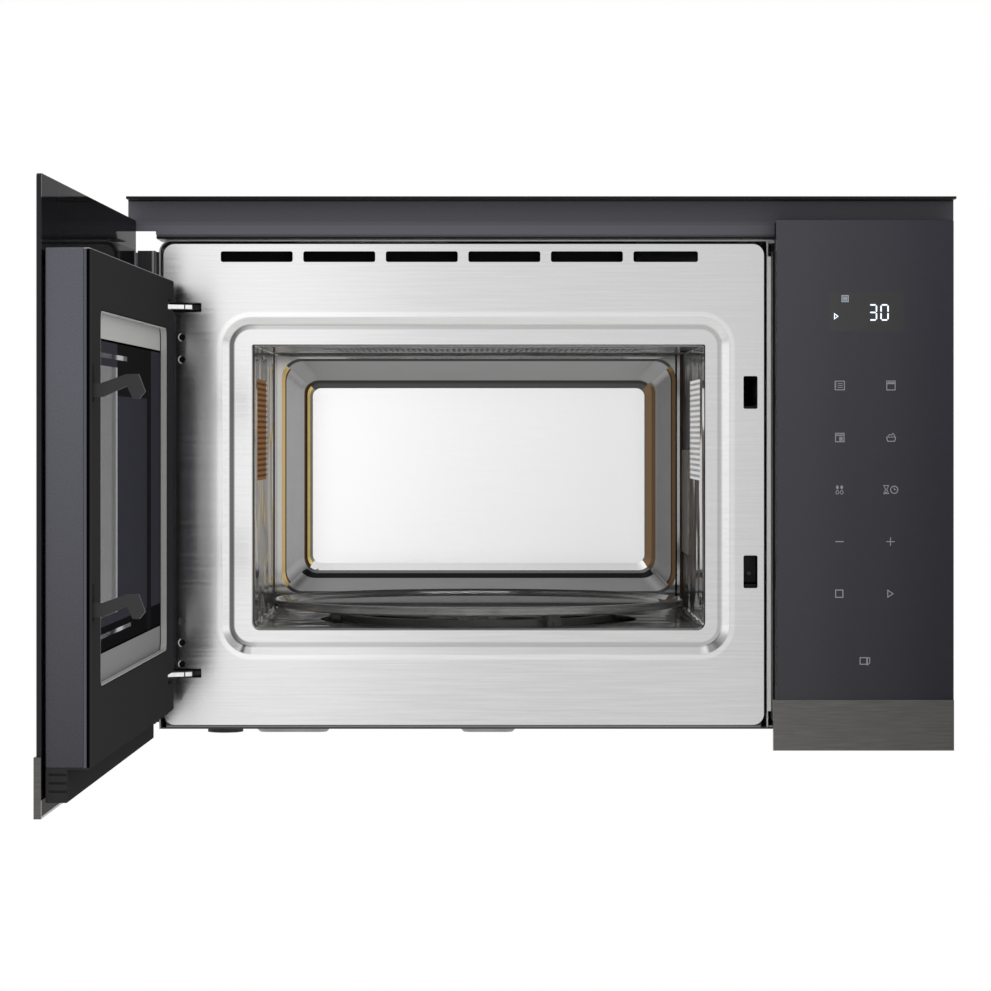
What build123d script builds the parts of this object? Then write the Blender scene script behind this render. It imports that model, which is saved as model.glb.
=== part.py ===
from build123d import *
import math
import os

# Built-in microwave oven with a side-hinged glass door, drawn with the door open.
# Frame: X to the right, Y into the cabinet, Z up, in millimetres.
# Origin: middle of the niche's front lower edge, on the niche shelf.

# Overall size: front width, top of the trim above the shelf, and depth behind the cabinet front
front_width = 596.0
trim_top = 389.5
rear_y = 400.0

# Top trim
trim_height = 26.7
trim_sheet = 1.0
lip_reach = 17.0
lip_thickness = 2.0
trim_flange_depth = 45.0
trim_notch_width = 20.0
trim_notch_rise = 2.4

# Glass fronts of the door and of the control panel
glass_front = -17.0
glass_thickness = 3.0
glass_side_gap = 2.0
glass_drop = 16.7
glass_bottom = -6.8
panel_width = 127.3
door_gap = 5.9
strip_height = 35.0
strip_sheet = 1.4
strip_return = 4.4

# Chassis box
sheet = 1.0
front_overlap = 20.8
trim_rise = 29.5
body_corner = 9.0
foot_height = 4.4
foot_radius = 13.0
foot_inset_x = 46.0
foot_inset_y = 32.0
face_y = 16.4

# Stainless front plate
plate_side_gap = 3.2
plate_to_panel = 6.2
plate_bottom = 7.4
plate_drop = 3.0
plate_corner = 8.0
plate_flange = 14.0
press_depth = 2.0
press_left = 15.3
press_right = 11.3
press_bottom = 11.2
press_top = 13.7
press_slope = 6.0
press_corner = 15.0
rim_height = 0.6
rim_width = 1.2
vent_height = 7.8
vent_bridge = 7.7
vent_last_bridge = 13.1
vent_count = 6
vent_inset = 41.6
vent_right_inset = 94.9
vent_drop = 9.2

# Cavity
cavity_left_margin = 64.0
cavity_right_margin = 42.5
cavity_floor = 76.0
cavity_drop = 76.0
cavity_corner = 6.0
cavity_top_corner = 1.2
cavity_rear_gap = 18.0
pocket_depth = 43.0
pocket_margin = 3.5
pocket_floor_rise = 12.0
pocket_slope = 16.0
pocket_fold = 10.0
track_recess = 5.0

# Windows in the cavity walls, and the perforated sheets that cover them
side_window_setback = 64.0
side_window_length = 123.0
side_window_height = 76.0
side_window_drop = 24.0
grill_window_left_margin = 53.0
grill_window_right_margin = 39.0
grill_window_setback = 134.0
grill_window_length = 100.0
screen_lap = 8.0
hole_radius = 4.2
side_hole_columns = 8
side_hole_rows = 5
grill_hole_columns = 14
grill_hole_rows = 4
feed_window_gap = 22.0
feed_window_size = 70.0
feed_window_rise = 54.0

# Hinge
hinge_offset = 10.9
hinge_y = -9.6
open_angle = 91.3
pin_radius = 2.0
pin_clearance = 0.06
eye_radius = 3.8
arm_thickness = 3.0
ear_height = 6.4
ear_gap = 0.5
arm_slot_gap = 2.0
upper_arm_drop = 46.2
lower_arm_z = 45.0
hinge_slot_inset = 4.1
hinge_slot_length = 23.4
hinge_slot_height = 6.6
hinge_screw_inset = 13.4
hinge_screw_near = 21.4
hinge_screw_pitch = 16.3

# Door
frame_gap = 2.0
frame_left_gap = 4.0
frame_right_gap = 2.5
frame_bottom = 21.8
frame_drop = 28.0
frame_back = 10.5
frame_wall = 1.2
cover_thickness = 4.9
cover_bevel = 1.2
skirt_back = 1.0
skirt_bottom = 1.0
pane_thickness = 3.0
pane_lap = 4.0
window_left_gap = 23.6
window_right_gap = -2.0
window_margin_z = 9.2
window_corner = 7.0
screen_margin = 5.0
door_hole_columns = 8
door_hole_rows = 5

# Door latch
latch_inset = 9.8
hook_offset = 0.4
hook_thickness = 4.4
hook_pitch = 130.4
hook_height = 8.3
latch_rise = 3.9
latch_hole_width = 10.2
latch_hole_height = 23.8
latch_drop = 2.0
latch_lift = 3.5
latch_clearance = 0.6

# Turntable
plate_side_clearance = 7.5
plate_end_clearance = 3.8
plate_underside = 84.4
plate_glass = 5.0
plate_rim_top = 92.3
track_margin = 35.5
roller_margin = 47.5
roller_width = 8.0
roller_gap = 0.3
axle_radius = 2.0
axle_clearance = 0.06
roller_count = 3
shaft_radius = 3.5

# Cooling fan
fan_offset = 1.9
fan_drop = 69.0
fan_rear_gap = 65.0
fan_side_margin = 24.1
fan_gap = 3.0
fan_blades = 7

# Places worked out from the sizes above
front_half = front_width / 2
trim_bottom = trim_top - trim_height
body_half_width = front_half - front_overlap
inner_half_width = body_half_width - sheet
body_top = trim_top - trim_rise
roof_underside = body_top - sheet
base_top = foot_height + sheet
glass_left = -front_half + glass_side_gap
glass_right = front_half - glass_side_gap
glass_top = trim_top - glass_drop
glass_back = glass_front + glass_thickness
panel_left = glass_right - panel_width
door_right = panel_left - door_gap
plate_left = -body_half_width + plate_side_gap
plate_right = panel_left - plate_to_panel
plate_top = body_top - plate_drop
vent_start_x = plate_left + vent_inset
vent_pitch = (plate_right - vent_right_inset - vent_start_x) / (vent_count - 1)
vent_z = plate_top - vent_drop
cavity_left = plate_left + cavity_left_margin
cavity_right = plate_right - cavity_right_margin
cavity_top = body_top - cavity_drop
cavity_depth = rear_y - cavity_rear_gap - pocket_depth - face_y
step_y = face_y + cavity_depth
pocket_y = step_y + pocket_depth
seal_y = face_y + press_depth
track_floor = cavity_floor - track_recess
side_window_y0 = face_y + side_window_setback
side_window_y1 = side_window_y0 + side_window_length
side_window_z1 = cavity_top - side_window_drop
side_window_z0 = side_window_z1 - side_window_height
grill_window_x0 = cavity_left + grill_window_left_margin
grill_window_x1 = cavity_right - grill_window_right_margin
grill_window_y0 = face_y + grill_window_setback
grill_window_y1 = grill_window_y0 + grill_window_length
feed_window_y0 = side_window_y1 + feed_window_gap
feed_window_y1 = feed_window_y0 + feed_window_size
feed_window_z0 = cavity_floor + feed_window_rise
feed_window_z1 = feed_window_z0 + feed_window_size
hinge_x = -body_half_width - hinge_offset
upper_arm_z = plate_top - upper_arm_drop
arm_levels = [upper_arm_z, lower_arm_z]
hinge_slot_x0 = plate_left + hinge_slot_inset
hinge_slot_x1 = hinge_slot_x0 + hinge_slot_length
hinge_screw_x = plate_left + hinge_screw_inset
frame_front = glass_back + frame_gap
frame_left = plate_left - frame_left_gap
frame_right = door_right - frame_right_gap
frame_top = plate_top - frame_drop
cover_back = frame_back + cover_thickness
latch_x = plate_right - latch_inset
hook_x = latch_x - hook_offset
latch_hole_z = (cavity_floor + cavity_top + hook_pitch) / 2 + latch_rise
hook_root_z = latch_hole_z - hook_height
turntable_x = (cavity_left + cavity_right) / 2
turntable_y = face_y + cavity_depth / 2
plate_radius = min((cavity_right - cavity_left) / 2 - plate_side_clearance, cavity_depth / 2 - plate_end_clearance)
track_radius = plate_radius - track_margin
roller_track = plate_radius - roller_margin
fan_x = (cavity_right + inner_half_width) / 2 + fan_offset
fan_z = cavity_top - fan_drop
fan_y = rear_y - fan_rear_gap
fan_radius = (inner_half_width - cavity_right) / 2 - fan_side_margin


def block(x0, x1, y0, y1, z0, z1):
    """Box between two corners."""
    return Pos((x0 + x1) / 2, (y0 + y1) / 2, (z0 + z1) / 2) * Box(x1 - x0, y1 - y0, z1 - z0)


def plate_y(x0, x1, z0, z1, y0, y1, radius=0.0):
    """Plate that faces the front, with rounded corners when a radius is given."""
    plane = Plane(origin=((x0 + x1) / 2, y1, (z0 + z1) / 2), x_dir=(1, 0, 0), z_dir=(0, -1, 0))
    outline = RectangleRounded(x1 - x0, z1 - z0, radius) if radius > 0 else Rectangle(x1 - x0, z1 - z0)
    return extrude(plane * outline, amount=y1 - y0)


def rod_x(x0, x1, y, z, radius):
    """Round bar along X."""
    return Plane(origin=(x0, y, z), z_dir=(1, 0, 0)) * Cylinder(
        radius, x1 - x0, align=(Align.CENTER, Align.CENTER, Align.MIN)
    )


def rod_y(x, y0, y1, z, radius):
    """Round bar along Y."""
    return Plane(origin=(x, y0, z), z_dir=(0, 1, 0)) * Cylinder(
        radius, y1 - y0, align=(Align.CENTER, Align.CENTER, Align.MIN)
    )


def rod_z(x, y, z0, z1, radius):
    """Round bar along Z."""
    return Pos(x, y, z0) * Cylinder(radius, z1 - z0, align=(Align.CENTER, Align.CENTER, Align.MIN))


def profile_x(points, x0, x1):
    """Outline in Y and Z, extruded along X."""
    return extrude(Plane.YZ.offset(x0) * Polygon(*points, align=None), amount=x1 - x0, dir=(1, 0, 0))


def profile_z(points, z0, z1):
    """Outline in X and Y, extruded along Z."""
    return extrude(Plane.XY.offset(z0) * Polygon(*points, align=None), amount=z1 - z0, dir=(0, 0, 1))


def group(pieces):
    """Separate solids that share one node."""
    return Compound(children=list(pieces))


def hole_grid(plane, columns, rows, width, height, radius, depth):
    """Rows of six-sided prisms on a plane."""
    grid = GridLocations(width / columns, height / rows, columns, rows)
    holes = [extrude(plane * place * RegularPolygon(radius, 6), amount=depth) for place in grid.locations]
    return Compound(children=holes)


def hex_holes_y(columns, rows, x0, x1, z0, z1, y0, y1, radius):
    """Grid of six-sided holes through a sheet that faces the front."""
    plane = Plane(origin=((x0 + x1) / 2, y1, (z0 + z1) / 2), x_dir=(1, 0, 0), z_dir=(0, -1, 0))
    return hole_grid(plane, columns, rows, x1 - x0, z1 - z0, radius, y1 - y0)


def hex_holes_x(columns, rows, y0, y1, z0, z1, x0, x1, radius):
    """Grid of six-sided holes through a side wall."""
    plane = Plane(origin=(x0, (y0 + y1) / 2, (z0 + z1) / 2), x_dir=(0, 1, 0), z_dir=(1, 0, 0))
    return hole_grid(plane, columns, rows, y1 - y0, z1 - z0, radius, x1 - x0)


def hex_holes_z(columns, rows, x0, x1, y0, y1, z0, z1, radius):
    """Grid of six-sided holes through a level sheet."""
    plane = Plane(origin=((x0 + x1) / 2, (y0 + y1) / 2, z0))
    return hole_grid(plane, columns, rows, x1 - x0, y1 - y0, radius, z1 - z0)


def door_at_rest(shape):
    """Turn a piece from the closed door to its place on the open door."""
    return Pos(hinge_x, hinge_y, 0) * Rot(0, 0, -open_angle) * Pos(-hinge_x, -hinge_y, 0) * shape


# Front plate


def vent_slots():
    """Start, end and height of each air slot above the cavity."""
    slots = []
    for index in range(vent_count):
        bridge = vent_last_bridge if index == vent_count - 1 else vent_bridge
        length = vent_pitch - bridge
        start = vent_start_x + index * vent_pitch
        slots.append((start, start + length, vent_z - vent_height / 2, vent_z + vent_height / 2, 1.6))
    return slots


def latch_slots():
    """The two holes that the hooks of the door enter."""
    slots = []
    for level in (latch_hole_z, latch_hole_z - hook_pitch):
        half = latch_hole_height / 2
        slots.append((latch_x - latch_hole_width / 2, latch_x + latch_hole_width / 2,
                      level - half, level + half, 1.2))
    return slots


def hinge_slots():
    """The two holes that the hinge arms pass through."""
    half = hinge_slot_height / 2
    return [(hinge_slot_x0, hinge_slot_x1, level - half, level + half, 0.8) for level in arm_levels]


def hinge_screw_places():
    """Screws of the two hinge brackets, on the inner side of each arm."""
    places = []
    for level, side in ((upper_arm_z, -1), (lower_arm_z, 1)):
        for index in range(2):
            places.append((hinge_screw_x, level + side * (hinge_screw_near + index * hinge_screw_pitch)))
    return places


def press_outline(y, spread):
    """Rounded outline of the pressed step round the cavity, at one depth."""
    x0, x1 = cavity_left - press_left - spread, cavity_right + press_right + spread
    z0, z1 = cavity_floor - press_bottom - spread, cavity_top + press_top + spread
    plane = Plane(origin=((x0 + x1) / 2, y, (z0 + z1) / 2), x_dir=(1, 0, 0), z_dir=(0, -1, 0))
    return plane * RectangleRounded(x1 - x0, z1 - z0, press_corner + spread)


def cavity_mouth(grow, y0, y1):
    """Opening of the cavity: rounded at the bottom corners and nearly sharp at the top ones."""
    x0, x1 = cavity_left - grow, cavity_right + grow
    z0, z1 = cavity_floor - grow, cavity_top + grow
    form = plate_y(x0, x1, z0, z1, y0, y1, cavity_corner + grow)
    form += plate_y(x0, x1, (z0 + z1) / 2, z1, y0, y1, cavity_top_corner + grow)
    return form


def front_plate():
    back = seal_y + sheet
    body = plate_y(plate_left, plate_right, plate_bottom, plate_top, face_y, face_y + sheet, plate_corner)
    body += loft([press_outline(face_y, press_slope + sheet), press_outline(back, sheet)], ruled=True)
    body -= loft([press_outline(face_y, press_slope), press_outline(seal_y, 0)], ruled=True)
    body -= cavity_mouth(0.0, face_y, back)
    flange_y = face_y + plate_flange
    flange = plate_y(plate_left, plate_right, plate_bottom, plate_top, face_y + sheet, flange_y, plate_corner)
    flange -= plate_y(plate_left + sheet, plate_right - sheet, plate_bottom - 20, plate_top - sheet,
                      face_y + sheet, flange_y, plate_corner - sheet)
    flange -= block(plate_left, plate_right, face_y + sheet, flange_y, plate_bottom - 20,
                    plate_bottom + plate_corner + 16)
    body += flange
    for x0, x1, z0, z1, radius in vent_slots() + latch_slots() + hinge_slots():
        body += plate_y(x0 - rim_width, x1 + rim_width, z0 - rim_width, z1 + rim_width,
                        face_y - rim_height, face_y + sheet, radius + rim_width)
        body -= plate_y(x0, x1, z0, z1, face_y - rim_height, face_y + sheet, radius)
    for x, z in hinge_screw_places():
        body -= rod_y(x, face_y, face_y + sheet, z, 2.6)
    return body


# Cavity


def cavity_form(grow, front_y):
    """Hollow of the cavity, grown outwards by the sheet for its outer side."""
    x0, x1 = cavity_left - grow, cavity_right + grow
    z0, z1 = cavity_floor - grow, cavity_top + grow
    form = cavity_mouth(grow, front_y, step_y + grow)
    mouth_x0, mouth_x1 = x0 + pocket_margin, x1 - pocket_margin
    mouth_z0, mouth_z1 = z0 + pocket_floor_rise, z1 - pocket_margin
    sections = []
    for y, inset, radius in (
        (step_y + grow, 0.0, 16.0),
        (pocket_y - pocket_fold + grow, pocket_slope * 0.82, 14.0),
        (pocket_y - pocket_fold * 0.3 + grow, pocket_slope * 1.1, 11.0),
        (pocket_y + grow, pocket_slope + pocket_fold * 0.75, 7.0),
    ):
        plane = Plane(origin=((mouth_x0 + mouth_x1) / 2, y, (mouth_z0 + mouth_z1) / 2),
                      x_dir=(1, 0, 0), z_dir=(0, -1, 0))
        width = mouth_x1 - mouth_x0 - 2 * inset
        height = mouth_z1 - mouth_z0 - 2 * inset
        sections.append(plane * RectangleRounded(width, height, radius + grow))
    form += loft(sections, ruled=True)
    form += rod_z(turntable_x, turntable_y, track_floor - grow, cavity_floor, track_radius + grow)
    return form


def cavity_liner():
    front = seal_y + sheet
    body = cavity_form(sheet, front)
    flange = 9.0
    body += plate_y(cavity_left - flange, cavity_right + flange, cavity_floor - flange, cavity_top + flange,
                    front, front + sheet, cavity_corner + flange)
    body -= cavity_form(0.0, front)
    wall = sheet + 1
    body -= block(cavity_right - 1, cavity_right + wall, side_window_y0, side_window_y1,
                  side_window_z0, side_window_z1)
    body -= block(cavity_left - wall, cavity_left + 1, side_window_y0, side_window_y1,
                  side_window_z0, side_window_z1)
    body -= block(grill_window_x0, grill_window_x1, grill_window_y0, grill_window_y1,
                  cavity_top - 1, cavity_top + wall)
    body -= block(cavity_right - 1, cavity_right + wall, feed_window_y0, feed_window_y1,
                  feed_window_z0, feed_window_z1)
    body -= rod_z(turntable_x, turntable_y, track_floor - wall, track_floor + 1, shaft_radius + 2.5)
    return body


def side_screen(x0):
    """Perforated sheet over a window in a side wall of the cavity."""
    y0, y1 = side_window_y0 - screen_lap, side_window_y1 + screen_lap
    z0, z1 = side_window_z0 - screen_lap, side_window_z1 + screen_lap
    body = block(x0, x0 + sheet, y0, y1, z0, z1)
    body -= hex_holes_x(side_hole_columns, side_hole_rows, side_window_y0, side_window_y1,
                        side_window_z0, side_window_z1, x0, x0 + sheet, hole_radius)
    return body


def lamp_screen():
    return side_screen(cavity_right + sheet)


def outlet_screen():
    return side_screen(cavity_left - 2 * sheet)


def grill_guard():
    z0 = cavity_top + sheet
    body = block(grill_window_x0 - screen_lap, grill_window_x1 + screen_lap,
                 grill_window_y0 - screen_lap, grill_window_y1 + screen_lap, z0, z0 + sheet)
    body -= hex_holes_z(grill_hole_columns, grill_hole_rows, grill_window_x0, grill_window_x1,
                        grill_window_y0, grill_window_y1, z0, z0 + sheet, hole_radius)
    return body


def grill_reflector():
    x0, x1 = grill_window_x0 - screen_lap, grill_window_x1 + screen_lap
    y0, y1 = grill_window_y0 - screen_lap, grill_window_y1 + screen_lap
    z0 = cavity_top + 2 * sheet
    height = 32.0
    outer = [(y0, z0), (y0 + 14, z0 + height), (y1 - 14, z0 + height), (y1, z0)]
    inner = [(y0 + 1.2, z0), (y0 + 14.8, z0 + height - sheet), (y1 - 14.8, z0 + height - sheet), (y1 - 1.2, z0)]
    body = profile_x(outer, x0, x1) - profile_x(inner, x0 + sheet, x1 - sheet)
    for y in grill_tube_places():
        body -= rod_x(x0 - 1, x1 + 1, y, grill_tube_z(), grill_tube_radius + 0.05)
    return body


grill_tube_radius = 5.0
grill_cap_radius = 7.0


def grill_tube_z():
    return cavity_top + 2 * sheet + 15.0


def grill_tube_places():
    middle = (grill_window_y0 + grill_window_y1) / 2
    return [middle - 20.0, middle + 20.0]


def grill_element():
    x0, x1 = grill_window_x0 - screen_lap, grill_window_x1 + screen_lap
    tubes = []
    for y in grill_tube_places():
        tube = rod_x(x0 - 4, x1 + 4, y, grill_tube_z(), grill_tube_radius)
        tube += rod_x(x0 - 14, x0 - 0.3, y, grill_tube_z(), grill_cap_radius)
        tube += rod_x(x1 + 0.3, x1 + 14, y, grill_tube_z(), grill_cap_radius)
        tubes.append(tube)
    return group(tubes)


# Chassis


def wrapper():
    depth_end = rear_y - sheet
    body = plate_y(-body_half_width, body_half_width, foot_height - 40, body_top, face_y, depth_end, body_corner)
    body -= plate_y(-inner_half_width, inner_half_width, foot_height - 41, roof_underside, face_y, depth_end,
                    body_corner - sheet)
    body -= block(-body_half_width - 1, body_half_width + 1, face_y, depth_end, foot_height - 45, foot_height)
    for index in range(8):
        z = fan_z - 42 + index * 12
        body -= block(inner_half_width - 1, body_half_width + 1, feed_window_y0, feed_window_y1 - 10, z, z + 4)
    return body


boss_drop = 3.4
boss_length = 74.0
boss_draft = 4.0


def boss_places():
    """Left and right edges of the two stamped bosses that stiffen the front of the base."""
    return [(cavity_left + 1, cavity_left + 58), (turntable_x - 15, turntable_x + 29)]


def boss_form(x0, x1, inset):
    """Shallow boss under the base, drawn in towards its lower face."""
    sections = []
    y0, y1 = face_y + 10 + inset, face_y + 10 + boss_length - inset
    for z, draft in ((base_top, 0.0), (foot_height - boss_drop + inset, boss_draft)):
        plane = Plane(origin=((x0 + x1) / 2, (y0 + y1) / 2, z))
        sections.append(plane * RectangleRounded(x1 - x0 - 2 * draft, y1 - y0 - 2 * draft, 6))
    return loft(sections, ruled=True)


def base_plate():
    front = face_y + sheet
    body = block(-inner_half_width, inner_half_width, front, rear_y - sheet, foot_height, base_top)
    body += block(plate_left + 2, plate_right - 2, front, face_y + 2 * sheet, base_top, plate_bottom + 16)
    for x0, x1 in boss_places():
        body += boss_form(x0, x1, 0.0)
        body -= boss_form(x0 + sheet, x1 - sheet, sheet)
    for row in range(2):
        for index in range(6):
            x = cavity_left + 30 + index * 22
            y = face_y + 96 + row * 150
            body -= plate_z(x, x + 6, y, y + 60, foot_height, base_top, 2.9)
    return body


def plate_z(x0, x1, y0, y1, z0, z1, radius):
    """Level plate with rounded corners."""
    plane = Plane(origin=((x0 + x1) / 2, (y0 + y1) / 2, z0))
    return extrude(plane * RectangleRounded(x1 - x0, y1 - y0, radius), amount=z1 - z0)


def feet():
    pads = []
    for x in (-body_half_width + foot_inset_x, body_half_width - foot_inset_x):
        for y in (face_y + foot_inset_y, rear_y - foot_inset_y - 20):
            pads.append(rod_z(x, y, 0, foot_height, foot_radius))
    return group(pads)


gland_x = body_half_width - 37.2
gland_z = 40.0
gland_radius = 9.0
cord_bore = 4.2
fan_vent_count = 9


def rear_panel():
    body = plate_y(-body_half_width, body_half_width, foot_height, body_top, rear_y - sheet, rear_y, body_corner)
    for index in range(fan_vent_count):
        x = fan_x + (index - (fan_vent_count - 1) / 2) * 11
        body -= plate_y(x - 2.5, x + 2.5, fan_z - 48, fan_z + 48, rear_y - sheet, rear_y, 2.4)
    for index in range(8):
        x = cavity_left + 20 + index * 16
        body -= plate_y(x - 2.5, x + 2.5, body_top - 48, body_top - 20, rear_y - sheet, rear_y, 2.4)
    body -= rod_y(gland_x, rear_y - sheet, rear_y, gland_z, gland_radius)
    for x, z in rear_screw_places():
        body -= rod_y(x, rear_y - sheet, rear_y, z, 1.8)
    return body


def rear_screw_places():
    inset = 12.0
    return [(side * (body_half_width - inset), z)
            for side in (-1, 1) for z in (foot_height + inset + 6, fan_z - 20, body_top - inset - 6)]


def chassis_screws():
    screws = []
    for x, z in hinge_screw_places():
        head = rod_y(x, face_y + 0.3, face_y + sheet, z, 2.5)
        screws.append(head + rod_y(x, face_y + sheet, face_y + 7, z, 1.7))
    for x, z in rear_screw_places():
        head = rod_y(x, rear_y, rear_y + 2.0, z, 3.4)
        screws.append(head + rod_y(x, rear_y - 5, rear_y, z, 1.7))
    return group(screws)


def mains_gland():
    body = rod_y(gland_x, rear_y - 8, rear_y, gland_z, gland_radius - 0.05)
    body += rod_y(gland_x, rear_y, rear_y + 3, gland_z, gland_radius + 3)
    body += rod_y(gland_x, rear_y + 3, rear_y + 12, gland_z, gland_radius - 2)
    body += rod_y(gland_x, rear_y - 8, rear_y - 4, gland_z, gland_radius + 2.5)
    body -= rod_y(gland_x, rear_y - 8, rear_y + 12, gland_z, cord_bore)
    return body


# Trim


def top_trim():
    half = front_width / 2
    joggle = 4.0
    outline = [
        (-lip_reach, trim_top - lip_thickness),
        (-lip_reach, trim_top),
        (0, trim_top),
        (0, trim_bottom + trim_sheet),
        (joggle, trim_bottom + trim_sheet),
        (joggle, body_top + trim_sheet),
        (trim_flange_depth, body_top + trim_sheet),
        (trim_flange_depth, body_top),
        (joggle - trim_sheet, body_top),
        (joggle - trim_sheet, trim_bottom),
        (-trim_sheet, trim_bottom),
        (-trim_sheet, trim_top - lip_thickness),
    ]
    body = profile_x(outline, -half, half)
    for side in (-1, 1):
        x_far, x_near = side * (half + 1), side * (half - trim_notch_width)
        body -= block(min(x_far, x_near), max(x_far, x_near), -trim_sheet, trim_flange_depth + 1,
                      body_top - 1, trim_bottom + trim_notch_rise)
    return body


strip_reach = 13.8
strip_wall = 2.1
strip_front = -1.5
strip_drop = 8.8
strip_left_edge = -body_half_width - strip_reach
strip_top = body_top - strip_drop


def side_strip():
    outer = -body_half_width - strip_wall
    thin = outer + 0.7
    outline = [
        (strip_left_edge, strip_front),
        (thin, strip_front),
        (thin, face_y),
        (-body_half_width, face_y),
        (-body_half_width, face_y + strip_reach),
        (outer, face_y + strip_reach),
        (outer, 0),
        (strip_left_edge, 0),
    ]
    body = profile_z(outline, plate_bottom + 2, strip_top)
    for z in fixing_levels():
        body -= rod_y(fixing_x(), strip_front, 0, z, fixing_hole_radius)
    for level in arm_levels:
        body -= block(hinge_x - 1, thin + 1, strip_front - 1, face_y, level - 5, level + 5)
    return body


fixing_hole_radius = 2.2
fixing_below_arm = 11.5
fixing_above_arm = 14.3


def fixing_x():
    return (strip_left_edge - body_half_width - strip_wall) / 2 - 1.0


def fixing_levels():
    return [lower_arm_z + fixing_above_arm, upper_arm_z - fixing_below_arm]


# Hinges


def hinge_arm(level):
    """Plate that reaches from the bracket through the front plate to the hinge pin."""
    z0, z1 = level - arm_thickness / 2, level + arm_thickness / 2
    x0, x1 = hinge_slot_x0 + 1.4, hinge_slot_x1 - 5.5
    outline = [
        (x0, face_y + 2 * sheet),
        (x1, face_y + 2 * sheet),
        (x1, face_y - 10),
        (hinge_x + 1.6, hinge_y - eye_radius + 0.3),
        (hinge_x - 2.1, hinge_y + eye_radius - 0.7),
        (x0, face_y - 12.5),
    ]
    body = profile_z(outline, z0, z1)
    body += rod_z(hinge_x, hinge_y, z0, z1, eye_radius)
    body -= rod_z(hinge_x, hinge_y, z0, z1, pin_radius + pin_clearance)
    return body


def hinge_brackets():
    brackets = []
    x0, x1 = hinge_slot_x0 - 1.5, hinge_slot_x1 + 3.0
    for level, side in ((upper_arm_z, -1), (lower_arm_z, 1)):
        far = level + side * (hinge_screw_near + hinge_screw_pitch + 8)
        near = level - side * 6
        back = face_y + 3 * sheet
        body = block(x0, x1, face_y + sheet, back, min(far, near), max(far, near))
        body += hinge_arm(level)
        for x, z in hinge_screw_places():
            if min(far, near) < z < max(far, near):
                body -= rod_y(x, face_y + sheet, back, z, 1.75)
        brackets.append(body)
    return group(brackets)


def hinge_pins():
    pins = []
    half = arm_thickness / 2 + ear_gap + ear_height
    for level in arm_levels:
        pins.append(door_at_rest(rod_z(hinge_x, hinge_y, level - half, level + half, pin_radius)))
    return group(pins)


# Door, drawn closed and then turned open


def door_glass():
    body = plate_y(glass_left, door_right, glass_bottom, glass_top, glass_front, glass_back, 2.0)
    body = chamfer(body.faces().sort_by(Axis.Y)[0].edges(), 0.4)
    return door_at_rest(body)


def glass_strip(x0, x1, return_x):
    """Steel strip along the foot of a glass, folded round one side and under it."""
    z0, z1 = glass_bottom, glass_bottom + strip_height
    front = glass_front - strip_sheet
    low, high = min(x0, return_x - strip_sheet), max(x1, return_x)
    body = block(low, high, front, glass_front, z0 - strip_sheet, z1)
    body += block(return_x - strip_sheet, return_x, front, front + strip_return, z0 - strip_sheet, z1)
    body += block(low, high, front, front + strip_return, z0 - strip_sheet, z0)
    return body


def door_strip():
    return door_at_rest(glass_strip(glass_left, door_right, door_right + strip_sheet))


window_x0 = cavity_left - window_left_gap
window_x1 = cavity_right + window_right_gap
window_z0 = cavity_floor - window_margin_z
window_z1 = cavity_top + window_margin_z
screen_x0 = cavity_left + screen_margin
screen_x1 = cavity_right - screen_margin
screen_z0 = cavity_floor + screen_margin
screen_z1 = cavity_top - screen_margin
pane_front = frame_back - pane_thickness


def arm_slot(level, back):
    """Room in the door for a hinge arm, from the closed door to the open one."""
    reach = hinge_slot_x1 + 5.0
    height = arm_thickness / 2 + arm_slot_gap
    return block(frame_left - 1, reach, frame_front - 1, back, level - height, level + height)


def latch_slot_cut(y0, y1):
    """Upright slots that the hooks stand through."""
    half = hook_thickness / 2 + latch_clearance
    cuts = []
    for drop in (0, hook_pitch):
        z0 = hook_root_z - drop - latch_drop - latch_clearance
        z1 = hook_root_z - drop + hook_height + latch_lift + latch_clearance + 7.0
        cuts.append(block(hook_x - half, hook_x + half, y0, y1, z0, z1))
    return cuts


def door_frame():
    body = block(frame_left, frame_right, frame_front, frame_back, frame_bottom, frame_top)
    wall = frame_wall
    body -= block(frame_left + wall, frame_right - wall, frame_front + wall, frame_back,
                  frame_bottom + wall, frame_top - wall)
    body += block(screen_x0 - wall, screen_x1 + wall, frame_front, pane_front, screen_z0 - wall, screen_z1 + wall)
    body -= block(screen_x0, screen_x1, frame_front, pane_front, screen_z0, screen_z1)
    for x in (frame_left + 8, frame_right - 18):
        body += block(x, x + 8, glass_back, frame_front, frame_bottom + 10, frame_top - 10)
    for level in arm_levels:
        near = arm_thickness / 2 + arm_slot_gap
        for side in (-1, 1):
            inner = level + side * (near + wall / 2)
            body += block(frame_left, hinge_slot_x1 + 5 + wall, frame_front, frame_back,
                          inner - wall / 2, inner + wall / 2)
        body -= arm_slot(level, frame_back)
        for side in (-1, 1):
            z_near = level + side * (arm_thickness / 2 + ear_gap)
            z_far = z_near + side * ear_height
            z0, z1 = min(z_near, z_far), max(z_near, z_far)
            ear = block(hinge_x, frame_left + wall, hinge_y - eye_radius, hinge_y + eye_radius, z0, z1)
            ear += rod_z(hinge_x, hinge_y, z0, z1, eye_radius)
            body += ear
        reach = arm_thickness / 2 + ear_gap + ear_height
        body -= rod_z(hinge_x, hinge_y, level - reach, level + reach, pin_radius)
    return door_at_rest(body)


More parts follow.
